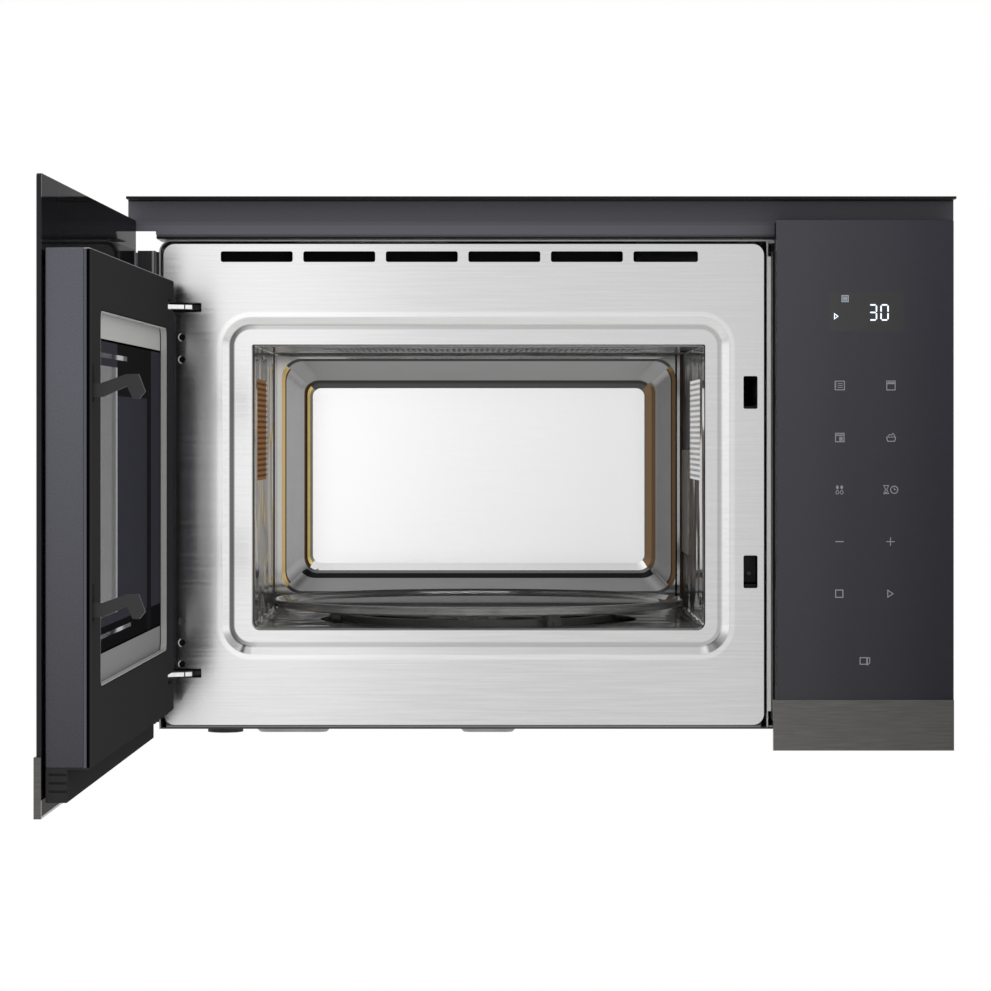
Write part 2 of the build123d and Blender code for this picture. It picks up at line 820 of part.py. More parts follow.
def door_cover():
    outline = [
        (frame_back, frame_top),
        (cover_back - cover_bevel, frame_top),
        (cover_back, frame_top - cover_bevel),
        (cover_back, frame_bottom + cover_bevel / 2),
        (cover_back - cover_bevel, frame_bottom - frame_wall),
        (skirt_back, frame_bottom - frame_wall),
        (skirt_back, skirt_bottom),
        (frame_front, skirt_bottom),
        (frame_front, frame_bottom),
        (frame_back, frame_bottom),
    ]
    body = profile_x(outline, frame_left, frame_right)
    body = chamfer(body.edges().filter_by(Axis.Z).sort_by(Axis.Y)[-2:], cover_bevel)
    body -= plate_y(window_x0, window_x1, window_z0, window_z1, frame_back, cover_back, window_corner)
    bevel = 1.2
    body -= loft([
        Plane(origin=((window_x0 + window_x1) / 2, cover_back, (window_z0 + window_z1) / 2),
              x_dir=(1, 0, 0), z_dir=(0, -1, 0))
        * RectangleRounded(window_x1 - window_x0 + 2 * bevel, window_z1 - window_z0 + 2 * bevel,
                           window_corner + bevel),
        Plane(origin=((window_x0 + window_x1) / 2, cover_back - bevel, (window_z0 + window_z1) / 2),
              x_dir=(1, 0, 0), z_dir=(0, -1, 0))
        * RectangleRounded(window_x1 - window_x0, window_z1 - window_z0, window_corner),
    ])
    for level in arm_levels:
        body -= arm_slot(level, cover_back)
    for cut in latch_slot_cut(frame_back, cover_back):
        body -= cut
    for index in range(3):
        z = skirt_bottom + 6 + index * 5
        body -= block(frame_right - 1.2, frame_right, frame_front + 2, skirt_back, z, z + 1.4)
    return door_at_rest(body)


def door_window():
    body = block(window_x0 - pane_lap, window_x1 + pane_lap, pane_front, frame_back,
                 window_z0 - pane_lap, window_z1 + pane_lap)
    return door_at_rest(body)


def door_screen():
    y0 = frame_front + 4
    body = block(screen_x0, screen_x1, y0, y0 + 0.8, screen_z0, screen_z1)
    body -= hex_holes_y(door_hole_columns, door_hole_rows, screen_x0 + 10, screen_x1 - 10,
                        screen_z0 + 10, screen_z1 - 10, y0, y0 + 0.8, hole_radius)
    return door_at_rest(body)


def hook_outline(drop):
    """Side view of one hook, in Y and Z, on the closed door."""
    y = cover_back
    z = hook_root_z - drop
    return [
        (y - 9, z),
        (y + 6, z),
        (y + 20.1, z + 6.5),
        (y + 23.6, z - 1),
        (y + 27.5, z - 1),
        (y + 31, z + 3.2),
        (y + 27, z + 13.7),
        (y + 19.6, z + 13.5),
        (y + 5, z + hook_height),
        (y - 9, z + hook_height),
    ]


def latch_hooks():
    x0, x1 = hook_x - hook_thickness / 2, hook_x + hook_thickness / 2
    bar_y = cover_back - 9
    body = block(x0, x1, bar_y, frame_back - 1.0, hook_root_z - hook_pitch - 8, hook_root_z + 16)
    for drop in (0, hook_pitch):
        body += profile_x(hook_outline(drop), x0, x1)
    return door_at_rest(body)


def latch_guide():
    """Channel in the door that the hook bar slides in."""
    gap = 0.4
    wall = 1.5
    x0, x1 = hook_x - hook_thickness / 2 - gap, hook_x + hook_thickness / 2 + gap
    y0, y1 = cover_back - 9 - gap, frame_back
    z0 = hook_root_z - hook_pitch - 8 - latch_drop - gap
    z1 = hook_root_z + 16 + latch_lift + gap
    body = block(x0 - wall, x1 + wall, frame_front + frame_wall, y1, z0 - wall, z1 + wall)
    body -= block(x0, x1, y0, y1, z0, z1)
    return door_at_rest(body)


# Control panel


def panel_bracket():
    x0 = plate_right + 2.3
    x1 = panel_left - 1.2
    z0, z1 = plate_bottom + 10, plate_top - 9
    y0 = face_y - 0.5
    body = block(x0, x1, y0, y0 + 9, z0, z1)
    body += block(x0, x0 + sheet, y0, face_y + 56, base_top, roof_underside)
    body -= block(x0 - 1, x0 + sheet, y0 - 1, face_y + 4, base_top, z0)
    body -= block(x0 - 1, x0 + sheet, y0 - 1, face_y + 4, z1, roof_underside)
    body += block(x0, x0 + 20, face_y + 6, face_y + 56, base_top, base_top + sheet)
    body += block(x0, x0 + 20, face_y + 6, face_y + 56, roof_underside - sheet, roof_underside)
    return body


housing_wall = 2.5
housing_back = 30.0
board_front = -10.6
board_thickness = 1.6
board_y = 34.0
board_x0 = panel_left + 7.3
board_z0 = 60.0
board_z1 = body_top - 60.0


def board_posts():
    x0, x1 = board_x0 + 6, inner_half_width - 12
    return [(x, z) for x in (x0, x1) for z in (board_z0 + 6, board_z1 - 6)]


def panel_housing():
    w = housing_wall
    y0 = frame_front
    x0, x1 = panel_left, glass_right - 1.5
    z0, z1 = glass_bottom + 1.8, glass_top - 1.8
    rear = -trim_sheet - 0.5
    body = block(x0, x1, y0, rear, z0, z1)
    body += block(x0 + 2, x1 - 2, glass_back, y0, z0 + 2, z1 - 2)
    body -= block(x0 + w + 1, x1 - w - 1, glass_back, rear - w, z0 + w + 1, z1 - w - 1)
    bx0, bx1 = panel_left - 1.2, inner_half_width
    bz0, bz1 = plate_bottom + 4, plate_top - 6
    box = block(bx0, bx1, rear, housing_back, bz0, bz1)
    box -= block(bx0 + w, bx1 - w, rear, housing_back, bz0 + w, bz1 - w)
    body += box
    body -= block(bx0 + 20, bx1 - 20, rear - w, rear, bz0 + 60, bz1 - 60)
    body += block(x0 + 0.5, bx1, rear - w, rear, bz0, bz0 + 20)
    for x, z in board_posts():
        body += rod_y(x, rear - w, board_y, z, 4.0)
    for x in (x0 + 12, x1 - 12):
        for z in (z0 + 24, z1 - 24):
            body += rod_y(x, board_front + board_thickness, rear - w, z, 3.0)
    return body


def control_glass():
    body = plate_y(panel_left, glass_right, glass_bottom, glass_top, glass_front, glass_back, 1.5)
    return chamfer(body.faces().sort_by(Axis.Y)[0].edges(), 0.4)


def control_strip():
    return glass_strip(panel_left, glass_right, panel_left - 0.9)


def touch_board():
    x0, x1 = panel_left + 7, glass_right - 8
    z0, z1 = glass_bottom + 20, glass_top - 16
    body = block(x0, x1, board_front, board_front + board_thickness, z0, z1)
    body += block(x0 + 20, x0 + 50, board_front + board_thickness, board_front + board_thickness + 4, z0 + 30, z0 + 38)
    return body


display_x0 = panel_left + 31.3
display_x1 = display_x0 + 61.0
display_z1 = glass_top - 49.8
display_z0 = display_z1 - 29.5


def display_module():
    return block(display_x0, display_x1, glass_back, board_front, display_z0, display_z1)


def power_board():
    x1 = inner_half_width - 6
    back = board_y + board_thickness
    body = block(board_x0, x1, board_y, back, board_z0, board_z1)
    for index in range(4):
        z = board_z0 + 16 + index * 26
        body += block(board_x0 + 8, board_x0 + 36, back, back + 16, z, z + 20)
    body += block(board_x0 + 48, x1 - 6, back, back + 26, board_z0 + 110, board_z0 + 160)
    body += rod_y(x1 - 20, back, back + 22, board_z0 + 40, 9)
    body += block(x1 - 16, x1 - 6, back, back + 10, board_z0 + 180, board_z1 - 10)
    return body


# Door switches and release


interlock_wall_x = latch_x + 6.2
interlock_wall = 2.5
interlock_depth = 71.0
interlock_z0 = latch_hole_z - hook_pitch - 28.7
interlock_z1 = latch_hole_z + 30.9
ledge_gap = 0.4
ledge_back = cover_back + 22.6
ledge_front = ledge_back - 6.5
hook_tip_drop = 1.0
lever_y = ledge_back + 19.0
lever_z = hook_root_z - 12.8
lever_pin_y = lever_y + 18.0
lever_radius = 5.0
plunger_x = hook_x - 5.3
plunger_radius = 3.0
coil_z0 = lever_z - 50.0
coil_z1 = lever_z - 16.0
switch_length = 28.0
switch_width = 16.0
switch_height = 10.0
switch_clearance = 0.5
switch_pin_radius = 1.5


def interlock_bracket():
    x0, x1 = interlock_wall_x, interlock_wall_x + interlock_wall
    front = face_y + sheet
    body = block(x0, x1, front, face_y + interlock_depth, interlock_z0, interlock_z1)
    body += block(cavity_right + press_right + press_slope, x1, front, front + 2, interlock_z0, interlock_z1)
    for x_low, x_high, z_low, z_high, radius in latch_slots():
        body -= block(x_low - 1, x0, front, front + 2, z_low - 1, z_high + 1)
    for drop in (0, hook_pitch):
        top = hook_root_z - drop - hook_tip_drop - ledge_gap
        body += block(latch_x - 5.5, x0, ledge_front, ledge_back, top - 4, top)
    body += rod_x(hook_x - 4, x0, lever_y, lever_z, 2.5)
    return body


def switch_places():
    """Body corner, plunger line and plunger direction of each door switch."""
    side_x = hook_x - hook_thickness / 2 - 2.7
    return {
        "upper": {"x0": side_x - switch_width, "y0": face_y + 3, "z0": hook_root_z + 4.2, "along": "x"},
        "lower": {"x0": side_x - switch_width, "y0": face_y + 3, "z0": hook_root_z - hook_pitch + 4.2,
                  "along": "x"},
        "monitor": {"x0": interlock_wall_x - switch_height, "y0": cover_back + 33.7,
                    "z0": hook_root_z - hook_pitch - 0.8, "along": "y"},
    }


def switch_plunger_line(name):
    """Start and end of a switch plunger, with its centre line."""
    place = switch_places()[name]
    if place["along"] == "x":
        tip = hook_x - hook_thickness / 2 - switch_clearance
        y = face_y + 22.0
        z = place["z0"] + switch_height / 2
        return (tip - 8.0, tip, y, z)
    tip = cover_back + 31 + switch_clearance
    return (tip, tip + 8.0, place["x0"] + switch_height / 2, place["z0"] + 6.8)


def switch_body(name):
    place = switch_places()[name]
    x0, y0, z0 = place["x0"], place["y0"], place["z0"]
    if place["along"] == "x":
        body = block(x0, x0 + switch_width, y0, y0 + switch_length, z0, z0 + switch_height)
        start, end, y, z = switch_plunger_line(name)
        body -= rod_x(start - 2.5, x0 + switch_width, y, z, switch_pin_radius + 0.06)
        for offset in (5, 14, 23):
            body += block(x0 - 6, x0, y0 + offset - 2, y0 + offset + 2, z0 + 4.6, z0 + 5.4)
        return body
    body = block(x0, x0 + switch_height, y0, y0 + switch_width, z0, z0 + switch_length)
    start, end, x, z = switch_plunger_line(name)
    body -= rod_y(x, y0, end + 2.5, z, switch_pin_radius + 0.06)
    for offset in (5, 14, 23):
        body += block(x0 + 4.6, x0 + 5.4, y0 + switch_width, y0 + switch_width + 6, z0 + offset - 2, z0 + offset + 2)
    return body


def microswitches():
    return group(switch_body(name) for name in switch_places())


def switch_plunger(name):
    start, end, across, z = switch_plunger_line(name)
    if switch_places()[name]["along"] == "x":
        return rod_x(start, end, across, z, switch_pin_radius)
    return rod_y(across, start, end, z, switch_pin_radius)


def release_lever():
    x0, x1 = hook_x - 2.2, hook_x + 2.2
    nose_top = hook_root_z - hook_tip_drop - 0.5
    outline = [
        (lever_y - 17, lever_z - 2.5),
        (lever_y - 17, nose_top),
        (lever_y - 14, nose_top),
        (lever_y - 11, lever_z + 2.5),
        (lever_pin_y + 1.5, lever_z + 2.5),
        (lever_pin_y + 1.5, lever_z - 2.5),
    ]
    body = profile_x(outline, x0, x1)
    body += rod_x(x0, x1, lever_y, lever_z, lever_radius)
    body += rod_x(plunger_x - 2.5, x0, lever_pin_y, lever_z, 1.5)
    body -= rod_x(x0, x1, lever_y, lever_z, 2.5 + pin_clearance)
    return body


def solenoid_plunger():
    x0, x1 = plunger_x - 2.5, plunger_x + 2.5
    body = block(x0, x1, lever_pin_y - 4, lever_pin_y + 4, lever_z - 6, lever_z + 6)
    body -= block(x0, x1, lever_pin_y - 2.4, lever_pin_y + 4, lever_z - 1.9, lever_z + 1.9)
    body += rod_z(plunger_x, lever_pin_y, coil_z0 + 8, lever_z - 6, plunger_radius)
    return body


def solenoid_coil():
    half = 12.0
    body = block(plunger_x - half, interlock_wall_x, lever_pin_y - half, lever_pin_y + half, coil_z0, coil_z0 + 3)
    body += block(plunger_x - half, interlock_wall_x, lever_pin_y - half, lever_pin_y + half, coil_z1 - 3, coil_z1)
    body += rod_z(plunger_x, lever_pin_y, coil_z0, coil_z1, half - 1)
    body += block(interlock_wall_x - 2, interlock_wall_x, lever_pin_y - half, lever_pin_y + half, coil_z0, coil_z1)
    body -= rod_z(plunger_x, lever_pin_y, coil_z0, coil_z1, plunger_radius + 0.08)
    return body


# Microwave source


feed_depth = 36.0
magnetron_y = (feed_window_y0 + feed_window_y1) / 2
magnetron_z = feed_window_z1 + 20.0


def waveguide():
    x0 = cavity_right + sheet
    x1 = x0 + feed_depth
    y0, y1 = feed_window_y0 - 10, feed_window_y1 + 10
    z0, z1 = feed_window_z0 - 10, feed_window_z1 + 50
    body = block(x0, x1, y0, y1, z0, z1) - block(x0, x1 - 1.2, y0 + 1.2, y1 - 1.2, z0 + 1.2, z1 - 1.2)
    body -= rod_x(x1 - 1.2, x1, magnetron_y, magnetron_z, 13.0)
    return body


def waveguide_cover():
    return block(cavity_right - 0.6, cavity_right, feed_window_y0 - 6, feed_window_y1 + 6,
                 feed_window_z0 - 6, feed_window_z1 + 6)


def magnetron():
    x0 = cavity_right + sheet + feed_depth
    x1 = x0 + 66
    y0, y1 = magnetron_y - 42, magnetron_y + 42
    z0, z1 = magnetron_z - 37, magnetron_z + 37
    body = block(x0, x1, y0, y1, z0, z1) - block(x0 + 1.5, x1 - 1.5, y0, y1, z0 + 1.5, z1 - 1.5)
    body += rod_x(x0 + 1.5, x1 - 1.5, magnetron_y, magnetron_z, 20.0)
    for index in range(6):
        x = x0 + 13 + index * 7.6
        body += block(x, x + 1.2, y0 + 8, y1 - 8, z0 + 5, z1 - 5)
    body += rod_x(x0 - 18, x0, magnetron_y, magnetron_z, 9.0)
    body += block(x1, x1 + 26, y0 + 14, y1 - 14, z0 + 12, z1 - 12)
    body += block(x1 + 26, x1 + 38, y0 + 26, y1 - 26, z0 + 26, z1 - 26)
    return body


transformer_x0 = cavity_right + 18.0
transformer_y0 = face_y + 82.0


def transformer():
    x0, y0, z0 = transformer_x0, transformer_y0, base_top
    body = block(x0, x0 + 92, y0 + 22, y0 + 76, z0, z0 + 76)
    body += block(x0 + 16, x0 + 76, y0, y0 + 98, z0 + 14, z0 + 62)
    body += block(x0 - 6, x0 + 98, y0 + 20, y0 + 78, z0, z0 + 2)
    for side in (0, 1):
        for level in (14, 39):
            x = x0 + 20 + side * 32
            body += block(x, x + 20, y0 - 4, y0, z0 + level + 2, z0 + level + 20)
    return body


capacitor_width = 34.0
capacitor_wall_gap = 6.2


def capacitor():
    x0 = inner_half_width - capacitor_wall_gap - capacitor_width
    y0, z0 = transformer_y0 + 104.0, base_top
    plane = Plane(origin=(x0 + 17, y0, z0 + 26), x_dir=(1, 0, 0), z_dir=(0, 1, 0))
    body = extrude(plane * SlotOverall(50, 33, rotation=90), amount=88)
    body += block(x0, x0 + capacitor_width, y0 + 36, y0 + 52, z0, z0 + 20)
    for z in (z0 + 14, z0 + 38):
        body += block(x0 + 13, x0 + 21, y0 - 10, y0, z, z + 1.6)
    return body


def filter_board():
    x0, y0, z0 = cavity_right + 20.0, rear_y - 82.0, base_top + 10
    body = block(x0, x0 + 78, y0, y0 + 66, z0, z0 + 1.6)
    for x in (x0 + 5, x0 + 73):
        for y in (y0 + 5, y0 + 61):
            body += rod_z(x, y, base_top, z0, 3)
    body += rod_z(x0 + 26, y0 + 32, z0 + 1.6, z0 + 24, 15)
    body += block(x0 + 46, x0 + 58, y0 + 14, y0 + 44, z0 + 1.6, z0 + 20)
    body += block(x0 + 62, x0 + 74, y0 + 14, y0 + 50, z0 + 1.6, z0 + 16)
    return body


# Lamp


lamp_y0 = side_window_y0 + 30.0
lamp_y1 = lamp_y0 + 66.0
lamp_z = cavity_top - 66.0
lamp_x = cavity_right + 21.0
bulb_radius = 12.0


def lamp_holder():
    x0, x1 = cavity_right + 2 * sheet, lamp_x + 17
    z0, z1 = lamp_z - 27, lamp_z + 27
    body = block(x0, x1, lamp_y0, lamp_y1, z0, z1)
    body -= block(x0, x1 - sheet, lamp_y0 + sheet, lamp_y1 - sheet, z0 + sheet, z1 - sheet)
    body += rod_y(lamp_x, lamp_y1 - 16, lamp_y1 - sheet, lamp_z, 9.0)
    body -= rod_y(lamp_x, lamp_y1 - 16, lamp_y1 - 4, lamp_z, 7.05)
    return body


def lamp_bulb():
    centre = lamp_y0 + 20
    body = Pos(lamp_x, centre, lamp_z) * Sphere(bulb_radius)
    neck = Plane(origin=(lamp_x, centre + 6, lamp_z), z_dir=(0, 1, 0)) * Cone(
        10.3, 7.0, 16, align=(Align.CENTER, Align.CENTER, Align.MIN)
    )
    body += neck
    body += rod_y(lamp_x, centre + 22, lamp_y1 - 4, lamp_z, 7.0)
    return body


# Turntable and its drive


motor_radius = 25.0
motor_height = 21.0


def turntable_motor():
    top = track_floor - sheet
    body = rod_z(turntable_x, turntable_y, top - motor_height, top, motor_radius)
    body += block(turntable_x - 34, turntable_x + 34, turntable_y - 7, turntable_y + 7, top - 1.5, top)
    body += block(turntable_x - 9, turntable_x + 9, turntable_y + motor_radius - 2, turntable_y + motor_radius + 10,
                  top - motor_height + 3, top - 4)
    body -= rod_z(turntable_x, turntable_y, top - 15, top, shaft_radius + axle_clearance)
    for side in (-1, 1):
        body -= rod_z(turntable_x + side * 30, turntable_y, top - 1.5, top, 1.8)
    return body


hub_radius = 8.0
lobe_radius = 4.5
lobe_distance = 12.0


def drive_coupler():
    top = plate_underside - roller_gap
    body = rod_z(turntable_x, turntable_y, track_floor - sheet - 13, track_floor + 2, shaft_radius)
    body += rod_z(turntable_x, turntable_y, track_floor + 2, top, hub_radius)
    for index in range(3):
        angle = math.radians(120 * index + 90)
        body += rod_z(turntable_x + lobe_distance * math.cos(angle), turntable_y + lobe_distance * math.sin(angle),
                      track_floor + 2, top, lobe_radius)
    return body


def turntable_plate():
    top = plate_underside + plate_glass
    outline = [
        (0, plate_underside),
        (plate_radius - 17, plate_underside),
        (plate_radius - 8, plate_underside + 1.2),
        (plate_radius, plate_underside + 2.6),
        (plate_radius, plate_rim_top - 0.8),
        (plate_radius - 0.8, plate_rim_top),
        (plate_radius - 3.0, plate_rim_top),
        (plate_radius - 10, top),
        (0, top),
    ]
    section = Plane.XZ * Polygon(*outline, align=None)
    body = Pos(turntable_x, turntable_y, 0) * revolve(section, Axis.Z)
    for index in range(3):
        angle = math.radians(120 * index + 30)
        body += rod_z(turntable_x + lobe_distance * math.cos(angle), turntable_y + lobe_distance * math.sin(angle),
                      plate_underside - 5, plate_underside, 3.2)
    return body


def roller_radius():
    return (plate_underside - track_floor) / 2 - roller_gap


def roller_axis_z():
    return (plate_underside + track_floor) / 2


def roller_angle(index):
    return 120.0 * index - 60.0


def turned(shape, index):
    """Turn a piece drawn on the X side of the turntable to the place of one roller."""
    return Pos(turntable_x, turntable_y, 0) * Rot(0, 0, roller_angle(index)) * shape


def roller_ring():
    z = roller_axis_z()
    outer = roller_track - roller_width / 2 - 3
    body = rod_z(0, 0, z - 2.4, z + 2.4, outer) - rod_z(0, 0, z - 2.4, z + 2.4, outer - 8)
    body = Pos(turntable_x, turntable_y, 0) * body
    for index in range(roller_count):
        axle = rod_x(outer - 3, roller_track + roller_width / 2 + 1.5, 0, z, axle_radius)
        axle += rod_x(outer - 1, roller_track - roller_width / 2 - 0.5, 0, z, axle_radius + 1.6)
        body += turned(axle, index)
    return body


def roller(index):
    z = roller_axis_z()
    x0, x1 = roller_track - roller_width / 2, roller_track + roller_width / 2
    wheel = rod_x(x0, x1, 0, z, roller_radius()) - rod_x(x0, x1, 0, z, axle_radius + axle_clearance)
    return turned(wheel, index)


# Cooling fan


def fan_shroud():
    y = fan_y
    inner = fan_radius + fan_gap
    body = block(cavity_right + 3, inner_half_width, y, y + 2, fan_z - 85, fan_z + 85)
    body += rod_y(fan_x, y - 14, y + 16, fan_z, inner + 2)
    body -= rod_y(fan_x, y - 14, y + 16, fan_z, inner)
    for side in (-1, 1):
        body += rod_y(fan_x + side * (inner + 6), y + 2, y + 36, fan_z, 3.0)
    return body


def fan_motor():
    y = fan_y + 22
    inner = fan_radius + fan_gap
    body = block(fan_x - inner - 10, fan_x + inner + 10, fan_y + 36, fan_y + 39, fan_z - 8, fan_z + 8)
    body += block(fan_x - 24, fan_x + 24, y, y + 14, fan_z - 30, fan_z + 26)
    body += rod_y(fan_x, y - 2, y + 30, fan_z, 15)
    body += block(fan_x - 15, fan_x + 15, y - 5, y + 20, fan_z - 34, fan_z - 16)
    body -= rod_y(fan_x, y - 2, y + 20, fan_z, 2.5 + axle_clearance)
    return body


def fan_impeller():
    y0 = fan_y + 1
    depth = 13.0
    body = rod_y(fan_x, y0, y0 + depth, fan_z, 14)
    for index in range(fan_blades):
        blade = Pos(0, 0, (12 + fan_radius) / 2) * Rot(0, 0, 34) * Box(27, 1.4, fan_radius - 12)
        blade &= rod_y(0, -depth / 2, depth / 2, 0, fan_radius)
        body += Pos(fan_x, y0 + depth / 2, fan_z) * Rot(0, 360 / fan_blades * index, 0) * blade
    body += rod_y(fan_x, y0 + depth, fan_y + 38, fan_z, 2.5)
    return body


def thermal_cutouts():
    reflector_top = cavity_top + 2 * sheet + 32.0
    yoke_top = magnetron_z + 37
    places = [
        (turntable_x, (grill_window_y0 + grill_window_y1) / 2, reflector_top),
        (cavity_right + sheet + feed_depth + 33, magnetron_y, yoke_top),
    ]
    bodies = []
    for x, y, z in places:
        body = rod_z(x, y, z, z + 9, 8)
        body += block(x - 14, x + 14, y - 4, y + 4, z, z + 1)
        for side in (-1, 1):
            body += block(x + side * 5 - 0.4, x + side * 5 + 0.4, y - 3, y + 3, z + 9, z + 15)
        bodies.append(body)
    return group(bodies)


def nodes():
    """Every sub-part by its node name."""
    return {
        "front_plate": front_plate(),
        "cavity_liner": cavity_liner(),
        "lamp_screen": lamp_screen(),
        "outlet_screen": outlet_screen(),
        "grill_guard": grill_guard(),
        "grill_reflector": grill_reflector(),
        "grill_element": grill_element(),
        "wrapper": wrapper(),
        "base_plate": base_plate(),
        "feet": feet(),
        "rear_panel": rear_panel(),
        "chassis_screws": chassis_screws(),
        "mains_gland": mains_gland(),
        "top_trim": top_trim(),
        "side_strip": side_strip(),
        "hinge_brackets": hinge_brackets(),
        "hinge_pins": hinge_pins(),
        "door_glass": door_glass(),
        "door_strip": door_strip(),
        "door_frame": door_frame(),
        "door_cover": door_cover(),
        "door_window": door_window(),
        "door_screen": door_screen(),
        "latch_guide": latch_guide(),
        "latch_hooks": latch_hooks(),
        "panel_bracket": panel_bracket(),
        "panel_housing": panel_housing(),
        "control_glass": control_glass(),
        "control_strip": control_strip(),
        "touch_board": touch_board(),
        "display_module": display_module(),
        "power_board": power_board(),
        "interlock_bracket": interlock_bracket(),
        "microswitches": microswitches(),
        "switch_plunger_upper": switch_plunger("upper"),
        "switch_plunger_lower": switch_plunger("lower"),
        "switch_plunger_monitor": switch_plunger("monitor"),
        "release_lever": release_lever(),
        "solenoid_plunger": solenoid_plunger(),
        "solenoid_coil": solenoid_coil(),
        "waveguide": waveguide(),
        "waveguide_cover": waveguide_cover(),
        "magnetron": magnetron(),
        "transformer": transformer(),
        "capacitor": capacitor(),
        "filter_board": filter_board(),
        "lamp_holder": lamp_holder(),
        "lamp_bulb": lamp_bulb(),
        "turntable_motor": turntable_motor(),
        "drive_coupler": drive_coupler(),
        "turntable_plate": turntable_plate(),
        "roller_ring": roller_ring(),
        "roller_a": roller(0),
        "roller_b": roller(1),
        "roller_c": roller(2),
        "fan_shroud": fan_shroud(),
        "fan_motor": fan_motor(),
        "fan_impeller": fan_impeller(),
        "thermal_cutouts": thermal_cutouts(),
    }


os.makedirs("parts", exist_ok=True)
for name, shape in nodes().items():
    export_step(shape, f"parts/{name}.step")
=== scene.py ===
import math

import bpy
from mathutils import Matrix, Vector


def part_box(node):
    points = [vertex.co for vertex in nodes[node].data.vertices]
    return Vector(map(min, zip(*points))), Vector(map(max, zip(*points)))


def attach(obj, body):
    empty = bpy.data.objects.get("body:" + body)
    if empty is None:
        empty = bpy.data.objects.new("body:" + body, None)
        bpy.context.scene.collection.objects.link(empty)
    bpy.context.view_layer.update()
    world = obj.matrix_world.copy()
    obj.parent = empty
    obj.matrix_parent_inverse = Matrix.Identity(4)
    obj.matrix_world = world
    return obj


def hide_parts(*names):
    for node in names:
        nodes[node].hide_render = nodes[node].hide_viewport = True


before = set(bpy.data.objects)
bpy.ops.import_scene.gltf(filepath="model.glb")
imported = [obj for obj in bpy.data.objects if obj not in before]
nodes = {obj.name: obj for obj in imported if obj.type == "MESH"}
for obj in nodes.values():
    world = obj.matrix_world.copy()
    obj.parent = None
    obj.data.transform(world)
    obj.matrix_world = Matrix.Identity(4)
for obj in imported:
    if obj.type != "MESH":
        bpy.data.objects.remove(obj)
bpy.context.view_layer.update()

MM = 0.001


# Camera: level, in front of the cavity, shifted so that the front fills the picture as in the photo

CAMERA_PLACE = (-44.6, -2503.0, 218.9)
SENSOR_WIDTH = 36.0
FOCAL_LENGTH = 125.87
SHIFT_X = 0.01655
SHIFT_Y = -0.0621

scene = bpy.context.scene
scene.view_settings.view_transform = "Standard"
scene.view_settings.look = "None"

camera_data = bpy.data.cameras.new("camera")
camera_data.sensor_width = SENSOR_WIDTH
camera_data.lens = FOCAL_LENGTH
camera_data.shift_x = SHIFT_X
camera_data.shift_y = SHIFT_Y
camera_data.clip_start = 0.05
camera_data.clip_end = 20.0
camera = bpy.data.objects.new("camera", camera_data)
camera.location = tuple(c * MM for c in CAMERA_PLACE)
camera.rotation_euler = (math.radians(90), 0, 0)
scene.collection.objects.link(camera)
scene.camera = camera


# Node helpers


